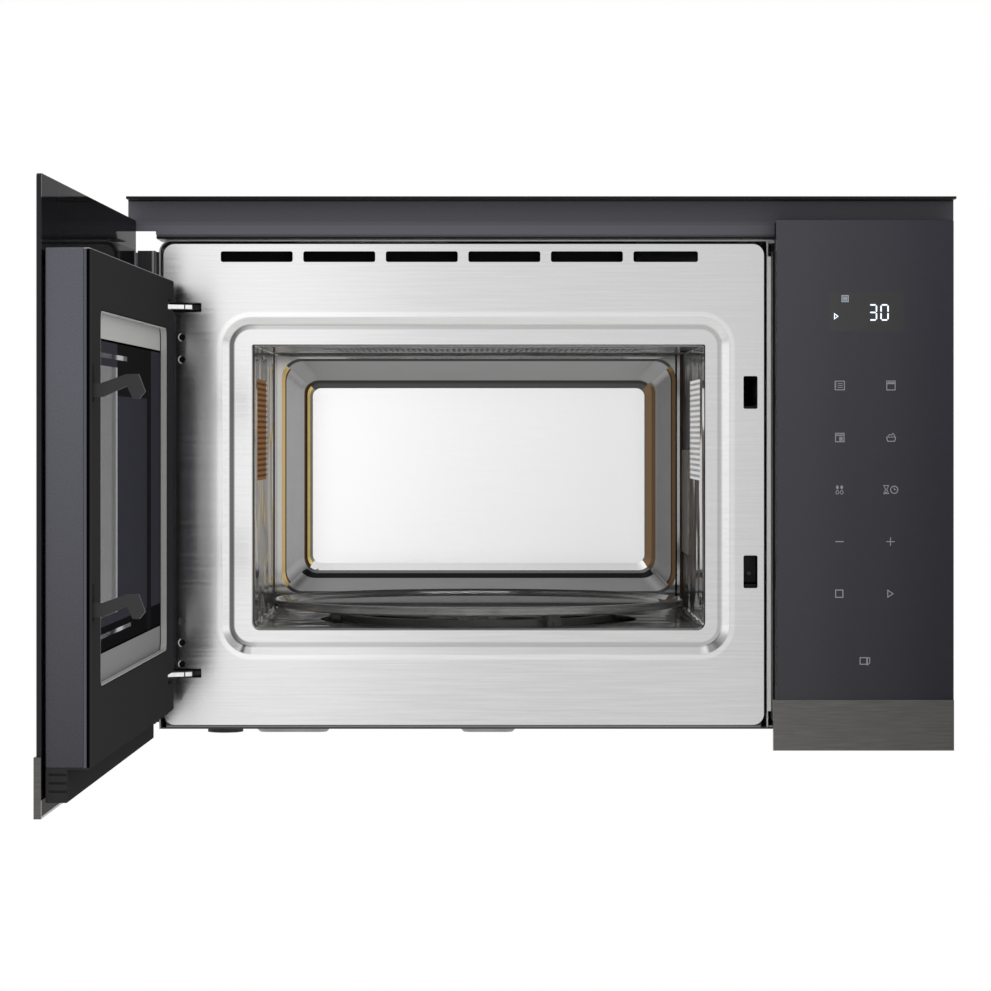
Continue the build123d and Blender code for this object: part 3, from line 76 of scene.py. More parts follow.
class Graph:
    """Short way to add nodes and links to one material or world."""

    def __init__(self, tree):
        self.nodes = tree.nodes
        self.links = tree.links

    def add(self, kind, **settings):
        node = self.nodes.new(kind)
        for key, value in settings.items():
            setattr(node, key, value)
        return node

    def feed(self, value, socket):
        """Links another node's output to the socket, or sets a plain value on it."""
        if isinstance(value, bpy.types.NodeSocket):
            self.links.new(value, socket)
        else:
            socket.default_value = value

    def math(self, operation, first, second=None, clamp=False):
        node = self.add("ShaderNodeMath", operation=operation, use_clamp=clamp)
        self.feed(first, node.inputs[0])
        if second is not None:
            self.feed(second, node.inputs[1])
        return node.outputs[0]

    def mix(self, factor, first, second):
        """The first number where the factor is 0, the second where it is 1."""
        node = self.add("ShaderNodeMix", data_type="FLOAT")
        for index, value in ((0, factor), (2, first), (3, second)):
            self.feed(value, node.inputs[index])
        return node.outputs[0]

    def paint(self, factor, base, colour):
        """The base colour where the factor is 0, the other where it is 1."""
        node = self.add("ShaderNodeMix", data_type="RGBA")
        for index, value in ((0, factor), (6, base), (7, (*colour, 1))):
            self.feed(value, node.inputs[index])
        return node.outputs[2]

    def scaled(self, vector, factor):
        node = self.add("ShaderNodeVectorMath", operation="SCALE")
        self.feed(vector, node.inputs[0])
        self.feed(factor, node.inputs["Scale"])
        return node.outputs[0]

    def remap(self, value, old_range, new_range):
        """A straight line between two ranges, held at their ends."""
        node = self.add("ShaderNodeMapRange")
        self.feed(value, node.inputs["Value"])
        for key, level in zip(("From Min", "From Max", "To Min", "To Max"), (*old_range, *new_range)):
            node.inputs[key].default_value = level
        return node.outputs[0]

    def ramp(self, value, stops, low, high):
        """Grey levels by a value: stops are (value, level) pairs, low to high."""
        spread = self.math("DIVIDE", self.math("SUBTRACT", value, low), high - low, clamp=True)
        node = self.add("ShaderNodeValToRGB")
        node.color_ramp.interpolation = "EASE"
        elements = node.color_ramp.elements
        while len(elements) < len(stops):
            elements.new(0.5)
        peak = max(level for place, level in stops)
        for element, (place, level) in zip(elements, stops):
            element.position = (place - low) / (high - low)
            grey = level / peak
            element.color = (grey, grey, grey, 1)
        self.feed(spread, node.inputs[0])
        return self.math("MULTIPLY", node.outputs[0], peak)

    def noise(self, where, grain, detail):
        """Noise with so many grains to the metre along each axis."""
        scale = self.add("ShaderNodeMapping")
        scale.inputs["Scale"].default_value = grain
        self.feed(where, scale.inputs["Vector"])
        noise = self.add("ShaderNodeTexNoise")
        noise.inputs["Scale"].default_value = 1.0
        noise.inputs["Detail"].default_value = detail
        self.feed(scale.outputs[0], noise.inputs["Vector"])
        return noise.outputs[0]

    def two_tones(self, value, dark, light):
        """Colour that goes from dark to light over the middle of a noise."""
        ramp = self.add("ShaderNodeValToRGB")
        for element, place, colour in zip(ramp.color_ramp.elements, (0.3, 0.7), (dark, light)):
            element.position = place
            element.color = (*colour, 1)
        self.feed(value, ramp.inputs[0])
        return ramp.outputs[0]

    def relief(self, height, strength, distance, under=None):
        """Bump of a distance in millimetres, on top of the one under it."""
        node = self.add("ShaderNodeBump")
        node.inputs["Strength"].default_value = strength
        node.inputs["Distance"].default_value = distance * MM
        self.feed(height, node.inputs["Height"])
        if under:
            self.feed(under, node.inputs["Normal"])
        return node.outputs[0]

    def leaning(self, normal, tilt):
        lean = self.add("ShaderNodeVectorMath", operation="ADD")
        lean.inputs[1].default_value = tilt
        self.feed(normal, lean.inputs[0])
        even = self.add("ShaderNodeVectorMath", operation="NORMALIZE")
        self.feed(lean.outputs[0], even.inputs[0])
        return even.outputs[0]

    def places(self, where):
        """X, Y and Z of a vector."""
        node = self.add("ShaderNodeSeparateXYZ")
        self.feed(where, node.inputs[0])
        return node.outputs

    def within(self, spots, ranges):
        """1 inside the ranges of span() and 0 outside."""
        mask = 1.0
        for axis, low, high in ranges:
            for operation, edge in (("GREATER_THAN", low), ("LESS_THAN", high)):
                mask = self.math("MULTIPLY", self.math(operation, spots[axis], edge), mask)
        return mask


# World: white to the eye and to soft light; mirrors see light and dark bands behind the camera

BAND_STOPS = [(-0.6, 1.2), (-0.36, 0.42), (-0.28, 0.62), (-0.18, 0.5), (-0.115, 1.1), (-0.07, 1.3),
              (-0.045, 1.26), (-0.03, 1.1), (-0.012, 0.98), (0.0, 0.94), (0.03, 0.9), (0.06, 0.87),
              (0.09, 0.88), (0.11, 0.55), (0.137, 0.16), (0.19, 0.1), (0.225, 1.15), (0.36, 1.0), (0.6, 1.2)]
HEIGHT_STOPS = [(-0.6, 0.3), (-0.25, 0.25), (-0.12, 0.55), (-0.08, 0.86), (-0.03, 0.93), (0.045, 1.0),
                (0.1, 0.95), (0.2, 0.45), (0.5, 0.4), (0.7, 1.0)]
LEAST_BEHIND = 0.05
TURN_SHARPNESS = 4.0


def studio_world():
    world = bpy.data.worlds.new("studio")
    world.use_nodes = True
    g = Graph(world.node_tree)
    g.nodes.clear()
    way = g.places(g.add("ShaderNodeTexCoord").outputs["Generated"])
    to_viewer = g.math("MULTIPLY", way[1], -1.0)
    behind = g.math("MAXIMUM", to_viewer, LEAST_BEHIND)
    bands = g.ramp(g.math("DIVIDE", way[0], behind), BAND_STOPS, BAND_STOPS[0][0], BAND_STOPS[-1][0])
    height = g.ramp(g.math("DIVIDE", way[2], behind), HEIGHT_STOPS, HEIGHT_STOPS[0][0], HEIGHT_STOPS[-1][0])
    turn = g.math("MULTIPLY", to_viewer, TURN_SHARPNESS, clamp=True)
    mirrored = g.mix(turn, 1.0, g.math("MULTIPLY", bands, height))
    rays = g.add("ShaderNodeLightPath").outputs
    seen = g.math("MAXIMUM", rays["Is Camera Ray"], rays["Is Transmission Ray"])
    even = g.math("MAXIMUM", seen, rays["Is Diffuse Ray"])
    light = g.add("ShaderNodeBackground")
    light.inputs["Color"].default_value = (1, 1, 1, 1)
    g.feed(g.mix(even, mirrored, 1.0), light.inputs["Strength"])
    output = g.add("ShaderNodeOutputWorld")
    g.feed(light.outputs[0], output.inputs[0])
    return world


scene.world = studio_world()


# Makers of materials


def span(**ranges):
    """Ranges in millimetres by axis, such as x=(-10, 20), in the metres of a shader."""
    return [("xyz".index(axis), low * MM, high * MM) for axis, (low, high) in ranges.items()]


def zone(colour, **ranges):
    """A colour that takes over inside the ranges."""
    return colour, span(**ranges)


def toned(colour, factor):
    return [min(1.0, c * factor) for c in colour]


def surface(name, colour, roughness=0.5, metallic=0.0, vary=0.06, grain=400, bump=0.05, rough_vary=0.05,
            depth=0.1, wave=0.0, wave_size=(6, 6, 6), zones=(), fade=None, tilt=None, plated=False,
            shine=(), **sockets):
    """Procedural finish: colour and roughness vary with the grain, which also raises a fine bump.

    grain is in grains to the metre, for all axes or for each. depth and wave are heights in millimetres,
    of the fine bump and of a wide swell under it.
    zones are made by zone(): the colour takes over inside them, and the metal stops there unless plated.
    fade is (axis, range, levels): the colour is scaled along the axis, over a range in millimetres.
    tilt leans the shading by a small fixed direction.
    shine are made by span(): the gloss is kept inside them only.
    """
    made = bpy.data.materials.new(name)
    made.use_nodes = True
    g = Graph(made.node_tree)
    shader = g.nodes["Principled BSDF"]
    where = g.add("ShaderNodeTexCoord").outputs["Object"]
    spots = g.places(where)
    noise = g.noise(where, grain if isinstance(grain, tuple) else (grain, grain, grain), 3.0)
    shade = g.two_tones(noise, toned(colour, 1 - vary), toned(colour, 1 + vary))
    metal = metallic
    for tone, ranges in zones:
        inside = g.within(spots, ranges)
        shade = g.paint(inside, shade, tone)
        if metallic and not plated:
            metal = g.math("MULTIPLY", g.math("SUBTRACT", 1.0, inside), metal)
    if fade:
        axis, (start, end), levels = fade
        shade = g.scaled(shade, g.remap(spots["xyz".index(axis)], (start * MM, end * MM), levels))
    g.feed(shade, shader.inputs["Base Color"])
    g.feed(metal, shader.inputs["Metallic"])
    rough_range = (max(0.0, roughness - rough_vary), min(1.0, roughness + rough_vary))
    g.feed(g.remap(noise, (0.0, 1.0), rough_range), shader.inputs["Roughness"])
    swell = g.relief(g.noise(where, wave_size, 0.0), 1.0, wave) if wave else None
    normal = g.relief(noise, bump, depth, swell)
    g.feed(g.leaning(normal, tilt) if tilt else normal, shader.inputs["Normal"])
    for key, value in sockets.items():
        shader.inputs[key.replace("_", " ")].default_value = value
    gloss = 0.0
    for ranges in shine:
        gloss = g.math("MAXIMUM", g.within(spots, ranges), gloss)
    if shine:
        g.feed(gloss, shader.inputs["Specular IOR Level"])
    return made


def brushed(name, colour, roughness, anisotropy, **more):
    """Sheet steel brushed along X: the grain lies across, so reflections stretch up and down."""
    settings = {"vary": 0.045, "grain": (18, 500, 600), "bump": 0.10, "rough_vary": 0.03, "depth": 0.03}
    settings.update(more)
    made = surface(name, colour, roughness, 1.0, **settings)
    g = Graph(made.node_tree)
    shader = g.nodes["Principled BSDF"]
    shader.inputs["Anisotropic"].default_value = anisotropy
    along = g.add("ShaderNodeCombineXYZ")
    along.inputs[2].default_value = 1.0
    g.feed(along.outputs[0], shader.inputs["Tangent"])
    return made


def polished(name, colour, roughness, metallic, **more):
    """Cavity steel that mirrors its surroundings in gentle waves."""
    return surface(name, colour, roughness, metallic, bump=0.03, rough_vary=0.03, **more)


def folded(name, colour, **more):
    """Satin steel of the rear pocket, whose shading leans to the front, where the light comes from."""
    return surface(name, colour, 0.16, 1.0, vary=0.03, grain=(30, 60, 60), bump=0.03, rough_vary=0.03,
                   tilt=(0, -4, 0), plated=True, **more)


def coated(name, colour, roughness, **more):
    """Dark painted metal."""
    settings = {"vary": 0.05, "grain": 900, "bump": 0.10, "rough_vary": 0.04}
    settings.update(more)
    return surface(name, colour, roughness, 0.0, **settings)


def glossy(name, colour, roughness, metallic=0.0, **more):
    """Flat dark glass."""
    return surface(name, colour, roughness, metallic, vary=0.02, grain=200, bump=0.004, rough_vary=0.01,
                   **more)


def plastic(name, colour, roughness, vary=0.05, grain=900, bump=0.1, **more):
    return surface(name, colour, roughness, 0.0, vary=vary, grain=grain, bump=bump, **more)


# Colours that several finishes share; most are painted light and shade

# Near black, for dark seams and for painted shade in gaps, slots and along folded edges
SEAM_AND_SHADE_BLACK = (0.002, 0.002, 0.002)
SHADOW = (0.03, 0.03, 0.03)
GLINT = (0.75, 0.75, 0.75)
MOUTH_SHADE = (0.06, 0.06, 0.06)
NIGHT = (0.036, 0.036, 0.046)
# Painted glints and painted reflections of the lamp's warm light in the cavity's folds, and painted shade in
# them, warm from that light
LAMP_GLINT = (1.0, 0.76, 0.28)
DIM_LAMP_GLINT = (0.52, 0.38, 0.17)
WARM_REFLECTION = (0.19, 0.12, 0.067)
WARM_FOLD_SHADE = (0.07, 0.04, 0.02)

# Places in millimetres that several zones share

LEFT_HALF = (-400, -50)
RIGHT_HALF = (-50, 400)
FAR_OUT = 500
STEP_EDGE = (300, 345.5)
BEHIND = 390


# Finishes of the cavity. The liner's steel comes in lit and shaded copies, whose colours are set for the
# light on each wall; the zones are painted reflections, painted shade and painted glints, standing for what
# the polished steel mirrors

liner_steel = surface("cavity_steel", (0.68, 0.68, 0.68), 0.06, 1.0, vary=0.02, grain=(8, 300, 300),
                      bump=0.03, rough_vary=0.02, wave=0.6, wave_size=(12, 9, 9))
# Back wall: a lit copy of the steel, near white
liner_back = surface("cavity_back_steel", (0.96, 0.96, 0.96), 0.14, 1.0, vary=0.01, grain=(30, 300, 600),
                     bump=0.03, rough_vary=0.02)
# Side walls: a shaded copy, with a painted glint at the mouth on the left, painted shade near the mouth and
# at the rear of the left wall, and a painted warm reflection at the rear of the right wall
liner_side = polished("cavity_side_steel", (0.50, 0.49, 0.48), 0.07, 0.8, vary=0.08, grain=(30, 60, 60),
                      wave=2.2, wave_size=(30, 26, 16), Specular_IOR_Level=0.0, zones=(
                          zone(GLINT, y=(0, 30), x=LEFT_HALF),
                          zone((0.12, 0.12, 0.12), y=(30, 50), x=LEFT_HALF),
                          zone((0.07, 0.07, 0.07), y=(0, 30), x=RIGHT_HALF),
                          zone((0.28, 0.27, 0.26), y=(280, 304), x=LEFT_HALF),
                          zone((0.20, 0.15, 0.11), y=(285, 342), x=RIGHT_HALF)))
# Ceiling: a shaded copy, with painted shade at the mouth, a painted glint behind it and a painted light band
# at the rear
liner_top = polished("cavity_top_steel", (0.30, 0.30, 0.30), 0.08, 0.5, vary=0.5, grain=(30, 12, 60),
                     wave=1.2, wave_size=(30, 22, 14), Specular_IOR_Level=0.0, zones=(
                         zone(MOUTH_SHADE, y=(0, 40)),
                         zone(GLINT, y=(40, 85)),
                         zone((0.62, 0.62, 0.62), y=(270, 342))))
# Floor: a shaded copy, with painted shade at the mouth and a painted highlight behind it
liner_floor = polished("cavity_floor_steel", (0.27, 0.26, 0.245), 0.08, 0.35, vary=0.3, grain=(30, 40, 60),
                       wave=1.4, wave_size=(26, 30, 14), Specular_IOR_Level=0.0, zones=(
                           zone(MOUTH_SHADE, y=(0, 22)),
                           zone((0.5, 0.5, 0.5), y=(22, 45))))
# Ring: a shaded copy on the left and a lit copy on the right, which has a painted shadow line at its outer
# edge
ring_left = surface("ring_left_steel", (0.50, 0.49, 0.47), 0.1, 1.0, vary=0.03, grain=(30, 60, 60),
                    tilt=(0.2, 0, 0))
ring_right = surface("ring_right_steel", (1.0, 1.0, 0.99), 0.1, 1.0, vary=0.03, grain=(30, 60, 60),
                     tilt=(-0.3, 0, 0), plated=True, zones=(zone(SHADOW, x=(116.2, 117.8)),))
# Rear pocket: lit and shaded copies of the steel, with painted glints and reflections of the lamp's warm
# light at the step, and painted shade
pocket_side = folded("pocket_side_steel", (0.335, 0.33, 0.33), zones=(
    zone(DIM_LAMP_GLINT, y=STEP_EDGE, x=LEFT_HALF),
    zone(WARM_FOLD_SHADE, y=(STEP_EDGE[1], 347.5)),
    zone(WARM_REFLECTION, y=STEP_EDGE, x=RIGHT_HALF)))
# Painted darker towards the top, with painted shade at the step and low in the fold
pocket_level = folded("pocket_level_steel", (0.50, 0.50, 0.50), fade=("z", (100, 260), (1.0, 0.55)), zones=(
    zone((0.10, 0.10, 0.10), y=(300, 343.5)),
    zone(SHADOW, y=(368, 372), z=(0, 180))))
# Side folds: painted shade in the crease, a painted glint and the lamp's warm light painted on the left, and
# a painted warm reflection and shade on the right
fold_side = folded("fold_side_steel", (0.32, 0.32, 0.325), zones=(
    zone(WARM_FOLD_SHADE, y=(377.5, 379.8)),
    zone(LAMP_GLINT, y=(379.8, 380.9), x=LEFT_HALF),
    zone((0.36, 0.33, 0.28), y=(380.9, BEHIND), x=LEFT_HALF),
    zone(WARM_REFLECTION, y=(374.5, 381.5), x=RIGHT_HALF),
    zone((0.12, 0.11, 0.10), y=(381.5, BEHIND), x=RIGHT_HALF)))
# Upper and lower folds in painted shade, and a lit copy, near white, for the faces in the light
fold_top = folded("fold_top_steel", (0.27, 0.27, 0.27), zones=(
    zone((0.05, 0.05, 0.05), y=(378, 380)),
    zone((0.09, 0.09, 0.09), y=(380, BEHIND))))
fold_low = folded("fold_low_steel", (0.30, 0.30, 0.30), zones=(zone(SHADOW, y=(300, 375.5)),))
fold_lit = folded("fold_lit_steel", (0.97, 0.97, 0.97))
# Perforated screens painted for the light on them: amber for the lamp's warm light, and near white for the
# screen lit from behind by the lamp
lamp_lit_screen = folded("lamp_lit_screen", (0.20, 0.10, 0.045))
backlit_screen = folded("backlit_screen", (0.96, 0.96, 0.95))
guard_steel = surface("guard_steel", (0.16, 0.16, 0.16), 0.3, 0.3, vary=0.1, grain=300,
                      Specular_IOR_Level=0.1)
turntable_glass = surface("turntable_glass", (0.88, 0.88, 0.875), 0.03, 0.0, vary=0.01, grain=120, bump=0.02,
                          rough_vary=0.01, Transmission_Weight=0.86, IOR=1.5)
lit_bulb = surface("lit_bulb", (1.0, 0.6, 0.18), 0.3, 0.0, vary=0.02, Emission_Color=(1, 0.50, 0.10, 1),
                   Emission_Strength=5.0)


# Finishes of the front and the casing: the zones are seams, and painted shade and highlights on folded
# edges; the fades paint the light falling off across a face

FLANGE_FRONT = (0, 18.6)
TRIM_TOP_EDGE = (386.8, 400)
TRIM_FLANGE = (361.6, 369.6)
COVER_FRONT = (21.8, 400)

stainless = brushed("stainless", (0.765, 0.765, 0.765), 0.13, 0.8)
screw_steel = surface("screw_steel", (0.045, 0.045, 0.045), 0.45, 0.2, vary=0.04, grain=500)
zinc = surface("zinc_steel", (0.62, 0.64, 0.65), 0.38, 1.0, vary=0.12, grain=60, bump=0.05, rough_vary=0.08)
# Base plate, darker than the zinc; its front flange painted dark for shade, with a thin painted highlight
# along the fold
dull_zinc = surface("dull_zinc_steel", (0.30, 0.31, 0.31), 0.45, 0.3, vary=0.12, grain=60, bump=0.05,
                    rough_vary=0.08, zones=(
                        zone((0.04, 0.04, 0.04), y=FLANGE_FRONT, z=(6.8, 30)),
                        zone((0.2, 0.2, 0.2), y=FLANGE_FRONT, z=(5.6, 6.8)),
                        zone((0.035, 0.035, 0.035), y=FLANGE_FRONT, z=(4.2, 5.6))))
# Hinge parts, with painted shade on the arms where they run into the slots
bright_steel = surface("bright_steel", (0.93, 0.93, 0.92), 0.22, 1.0, vary=0.04, grain=500, wave=0.4,
                       wave_size=(160, 160, 60), zones=(
                           zone(SEAM_AND_SHADE_BLACK, x=(-252.5, -240)),
                           zone(SEAM_AND_SHADE_BLACK, x=(-258, -257.1))))
# Top trim: painted darker towards the right for the light falling off, with painted shade along its top edge
# and under its flange, and the flange painted lighter for the light on it
anthracite = coated("anthracite_metal", (0.090, 0.088, 0.107), 0.36, fade=("x", (-280, 280), (1.1, 0.62)),
                    Specular_IOR_Level=0.3, zones=(
                        zone(SEAM_AND_SHADE_BLACK, z=TRIM_TOP_EDGE),
                        zone(SEAM_AND_SHADE_BLACK, z=(359, TRIM_FLANGE[0])),
                        zone((0.134, 0.132, 0.156), z=TRIM_FLANGE),
                        zone((0.110, 0.108, 0.129), z=(TRIM_FLANGE[1], 372.2))))
# Side strip, with a painted highlight along its ridge
strip_metal = coated("side_strip_metal", (0.034, 0.034, 0.037), 0.36, Specular_IOR_Level=0.2,
                     zones=(zone((0.33, 0.33, 0.33), x=(-280.8, -279.2)),))
# Door frame, painted darker towards the bottom for the light falling off
grey_metal = coated("grey_metal", (0.097, 0.098, 0.121), 0.28, vary=0.02, bump=0.02,
                    fade=("z", (10, 260), (0.32, 1.0)))
# Door and control strips, painted darker towards the right for the light falling off
dark_steel = brushed("dark_steel", (0.160, 0.156, 0.150), 0.30, 0.7, vary=0.16, grain=(40, 700, 1500),
                     bump=0.2, fade=("x", (170, 298), (1.0, 0.76)))
# Pale steel of the window's lip, which also stands in for light on the wall of its recess
lip_steel = surface("window_lip_steel", (0.50, 0.50, 0.49), 0.35, 0.2, vary=0.03, grain=300)
shade_black = surface("shade_black", (0.004, 0.004, 0.004), 0.8, 0.0, vary=0.1, grain=300,
                      Specular_IOR_Level=0.1)


# Glass: the pane has a bright printed border above and below, edged by painted shade lines, and a painted
# reflection of a pale strip at its free edge, where its gloss is kept, among dark painted reflections

PANE_FOOT = 84
PANE_TOP = 277.5
PAINTED_PALE_REFLECTION = {"y": (-FAR_OUT, -300), "z": (106, 261)}

# Control glass, painted darker towards the bottom for the reflection it shows
panel_glass = glossy("panel_glass", (0.031, 0.030, 0.039), 0.04, fade=("z", (20, 360), (0.66, 1.1)))
door_glass = glossy("door_glass_ink", (0.085, 0.085, 0.093), 0.05, 0.85, Specular_Tint=(0, 0, 0, 1),
                    zones=(zone((0.027, 0.027, 0.030), y=(-FAR_OUT, -459.5)),))
tinted_pane = glossy(
    "tinted_pane", NIGHT, 0.03,
    shine=(span(**PAINTED_PALE_REFLECTION),
           span(y=(-FAR_OUT, -250), z=(266, 269)),
           span(y=(-FAR_OUT, -230), z=(93, 95.5))),
    # Painted reflections: dark bands and a pale strip; then the printed border, with painted shade lines
    # along its edges
    zones=(zone((0.008, 0.008, 0.009), z=(PANE_FOOT, 100)),
           zone((0.26, 0.26, 0.26), **PAINTED_PALE_REFLECTION),
           zone((0.012, 0.012, 0.014), y=(-142, -118), z=(PANE_FOOT, 270)),
           zone((0.012, 0.012, 0.013), y=(-300, -118), z=(243, 276)),
           zone((0.46, 0.46, 0.455), z=(PANE_TOP, 400)),
           zone((0.24, 0.24, 0.24), z=(0, PANE_FOOT)),
           zone(SEAM_AND_SHADE_BLACK, z=(PANE_TOP - 1.5, PANE_TOP)),
           zone(SEAM_AND_SHADE_BLACK, z=(PANE_FOOT, PANE_FOOT + 1.2))))


# Plastics and inner parts

# Door cover, with the frame's grey at its end, a dark seam, and a painted highlight along its top edge
charcoal = plastic("charcoal_plastic", (0.031, 0.031, 0.031), 0.5, vary=0.06, grain=1500, bump=0.12,
                   Specular_IOR_Level=0.0, zones=(
                       zone((0.100, 0.101, 0.124), x=(-400, -276.3), z=COVER_FRONT),
                       zone(SEAM_AND_SHADE_BLACK, x=(-276.3, -274.4), z=COVER_FRONT),
                       zone((0.36, 0.36, 0.37), z=(328.4, 340))))
black = plastic("black_plastic", (0.016, 0.016, 0.017), 0.42, vary=0.08, grain=1200, bump=0.12)
# Panel housing, painted near black at its left side for the shade in the gap
housing = plastic("housing_plastic", (0.016, 0.016, 0.017), 0.42, vary=0.08, grain=1200, bump=0.12,
                  Specular_IOR_Level=0.2, zones=(zone(SEAM_AND_SHADE_BLACK, x=(100, 168.8)),))
hook = plastic("hook_plastic", (0.019, 0.019, 0.020), 0.45, vary=0.06, grain=1200)
light = plastic("light_plastic", (0.9, 0.9, 0.88), 0.45, vary=0.04)
grey = plastic("grey_plastic", (0.30, 0.30, 0.30), 0.45)
smoke = plastic("smoke_plastic", (0.17, 0.17, 0.165), 0.35)
pale = plastic("pale_plastic", (0.75, 0.74, 0.72), 0.35)
ceramic = surface("white_ceramic", (0.80, 0.79, 0.76), 0.5, 0.0, vary=0.05, grain=500)
mica = surface("mica", (0.50, 0.46, 0.39), 0.4, 0.0, vary=0.25, grain=90, bump=0.1)
aluminium = surface("aluminium", (0.66, 0.67, 0.68), 0.3, 1.0, vary=0.05, grain=300)
copper_iron = surface("varnished_iron", (0.22, 0.13, 0.08), 0.45, 0.3, vary=0.25, grain=(300, 300, 900))
board = surface("board_green", (0.03, 0.16, 0.08), 0.35, 0.0, vary=0.35, grain=220)
rubber = surface("rubber", (0.02, 0.02, 0.02), 0.7, 0.0, vary=0.1, grain=900, bump=0.2)


# Which node has which finish

LOOKS = (
    (stainless, ["front_plate"]),
    (screw_steel, ["chassis_screws"]),
    (liner_steel, ["cavity_liner"]),
    (backlit_screen, ["lamp_screen"]),
    (lamp_lit_screen, ["outlet_screen"]),
    (guard_steel, ["grill_guard"]),
    (dull_zinc, ["base_plate"]),
    (zinc, ["wrapper", "rear_panel", "waveguide", "lamp_holder", "thermal_cutouts"]),
    (bright_steel, ["hinge_brackets", "hinge_pins", "solenoid_plunger"]),
    (anthracite, ["top_trim"]),
    (strip_metal, ["side_strip"]),
    (grey_metal, ["door_frame"]),
    (dark_steel, ["door_strip", "control_strip"]),
    (panel_glass, ["control_glass"]),
    (door_glass, ["door_glass"]),
    (tinted_pane, ["door_window"]),
    (charcoal, ["door_cover"]),
    (hook, ["latch_hooks"]),
    (housing, ["panel_housing"]),
    (black, ["latch_guide", "display_module", "interlock_bracket", "microswitches", "mains_gland",
             "fan_shroud", "fan_impeller"]),
    (light, ["panel_bracket"]),
    (grey, ["switch_plunger_upper", "switch_plunger_lower", "switch_plunger_monitor", "release_lever"]),
    (pale, ["drive_coupler"]),
    (smoke, ["roller_ring", "roller_a", "roller_b", "roller_c"]),
    (ceramic, ["grill_element"]),
    (mica, ["waveguide_cover"]),
    (aluminium, ["door_screen", "grill_reflector", "magnetron", "capacitor"]),
    (copper_iron, ["solenoid_coil", "transformer", "fan_motor", "turntable_motor"]),
    (board, ["touch_board", "power_board", "filter_board"]),
    (rubber, ["feet"]),
    (turntable_glass, ["turntable_plate"]),
    (lit_bulb, ["lamp_bulb"]),
)
finish_of = {name: made for made, names in LOOKS for name in names}
for name, node in nodes.items():
    node.data.materials.clear()
    node.data.materials.append(finish_of[name])


# The cavity's walls, ring, pocket and folds get lit and shaded copies of the steel, by direction and by
# places in metres

FLAT = 0.98
STEEP = 0.6
RING_Y = 0.3385
RING_LEFT_X = -0.190
RING_RIGHT_X = 0.100
STEP_Y = 0.3395
FOLD_Y = 0.3725
EDGE_Y = 0.3795
LINER_LIT_AND_SHADED = (liner_back, liner_side, liner_top, liner_floor, pocket_side, pocket_level, fold_side,
                  fold_top, fold_low, fold_lit, ring_left, ring_right)


def rear_shading(lean, spot, sideways):
    """Copy of the steel, with its painted light and shade, for a face of the pocket's folds, behind its
    sloped walls.
    """
    if lean.y < -FLAT:
        return liner_back
    if sideways:
        return fold_side
    if lean.z < 0:
        return fold_top
    return fold_lit if spot.y > EDGE_Y else fold_low


def liner_shading(lean, spot):
    """Copy of the steel, with its painted light and shade, for a face by its direction and its centre, or
    None.
    """
    sideways = abs(lean.x) >= abs(lean.z)
    if spot.y > FOLD_Y:
        return rear_shading(lean, spot, sideways)
    if lean.y < -FLAT and spot.y > RING_Y and spot.x < RING_LEFT_X:
        return ring_left
    if lean.y < -FLAT and spot.y > RING_Y and spot.x > RING_RIGHT_X:
        return ring_right
    if spot.y > STEP_Y:
        return pocket_side if sideways else pocket_level
    if abs(lean.x) > STEEP:
        return liner_side
    if lean.z < -STEEP:
        return liner_top
    return liner_floor if lean.z > STEEP else None


liner = nodes["cavity_liner"].data
for made in LINER_LIT_AND_SHADED:
    liner.materials.append(made)
for face in liner.polygons:
    made = liner_shading(face.normal, face.center)
    if made:
        face.material_index = 1 + LINER_LIT_AND_SHADED.index(made)


# Rounded edges of the frame pressed round the cavity's mouth, with painted shade and a painted highlight by
# the distance from its outline

PRESSED_X = (-225.3, 131.3)
PRESSED_Z = (64.8, 297.7)
PRESSED_CORNER = 15.0
SHADED_GAP = (-10.0, 20.0)
PAINTED_SHADE_LINE = [(-3.4, 0.0), (-1.8, 1.0), (0.4, 1.0), (1.6, 0.0)]
PAINTED_HIGHLIGHT_LINE = [(5.8, 0.0), (7.2, 1.0), (8.8, 1.0), (11.0, 0.0)]
SHADE_AT_LEFT = 0.82
SHADE_ELSEWHERE = 0.28
LEFT_END = (-222, -205)
HIGHLIGHT_LEVEL = 0.15


def pressed_gap(g, spots):
    """Distance from the rounded outline in metres, negative inside it."""
    outside = []
    for axis, (low, high) in ((0, PRESSED_X), (2, PRESSED_Z)):
        off = g.math("ABSOLUTE", g.math("SUBTRACT", spots[axis], (low + high) / 2 * MM))
        outside.append(g.math("SUBTRACT", off, ((high - low) / 2 - PRESSED_CORNER) * MM))
    squares = [g.math("POWER", g.math("MAXIMUM", off, 0.0), 2.0) for off in outside]
    corner = g.math("SQRT", g.math("ADD", squares[0], squares[1]))
    inner = g.math("MINIMUM", g.math("MAXIMUM", outside[0], outside[1]), 0.0)
    return g.math("SUBTRACT", g.math("ADD", corner, inner), PRESSED_CORNER * MM)


def line_shade(g, gap, stops):
    low, high = SHADED_GAP
    return g.ramp(gap, [(place * MM, level) for place, level in stops], low * MM, high * MM)


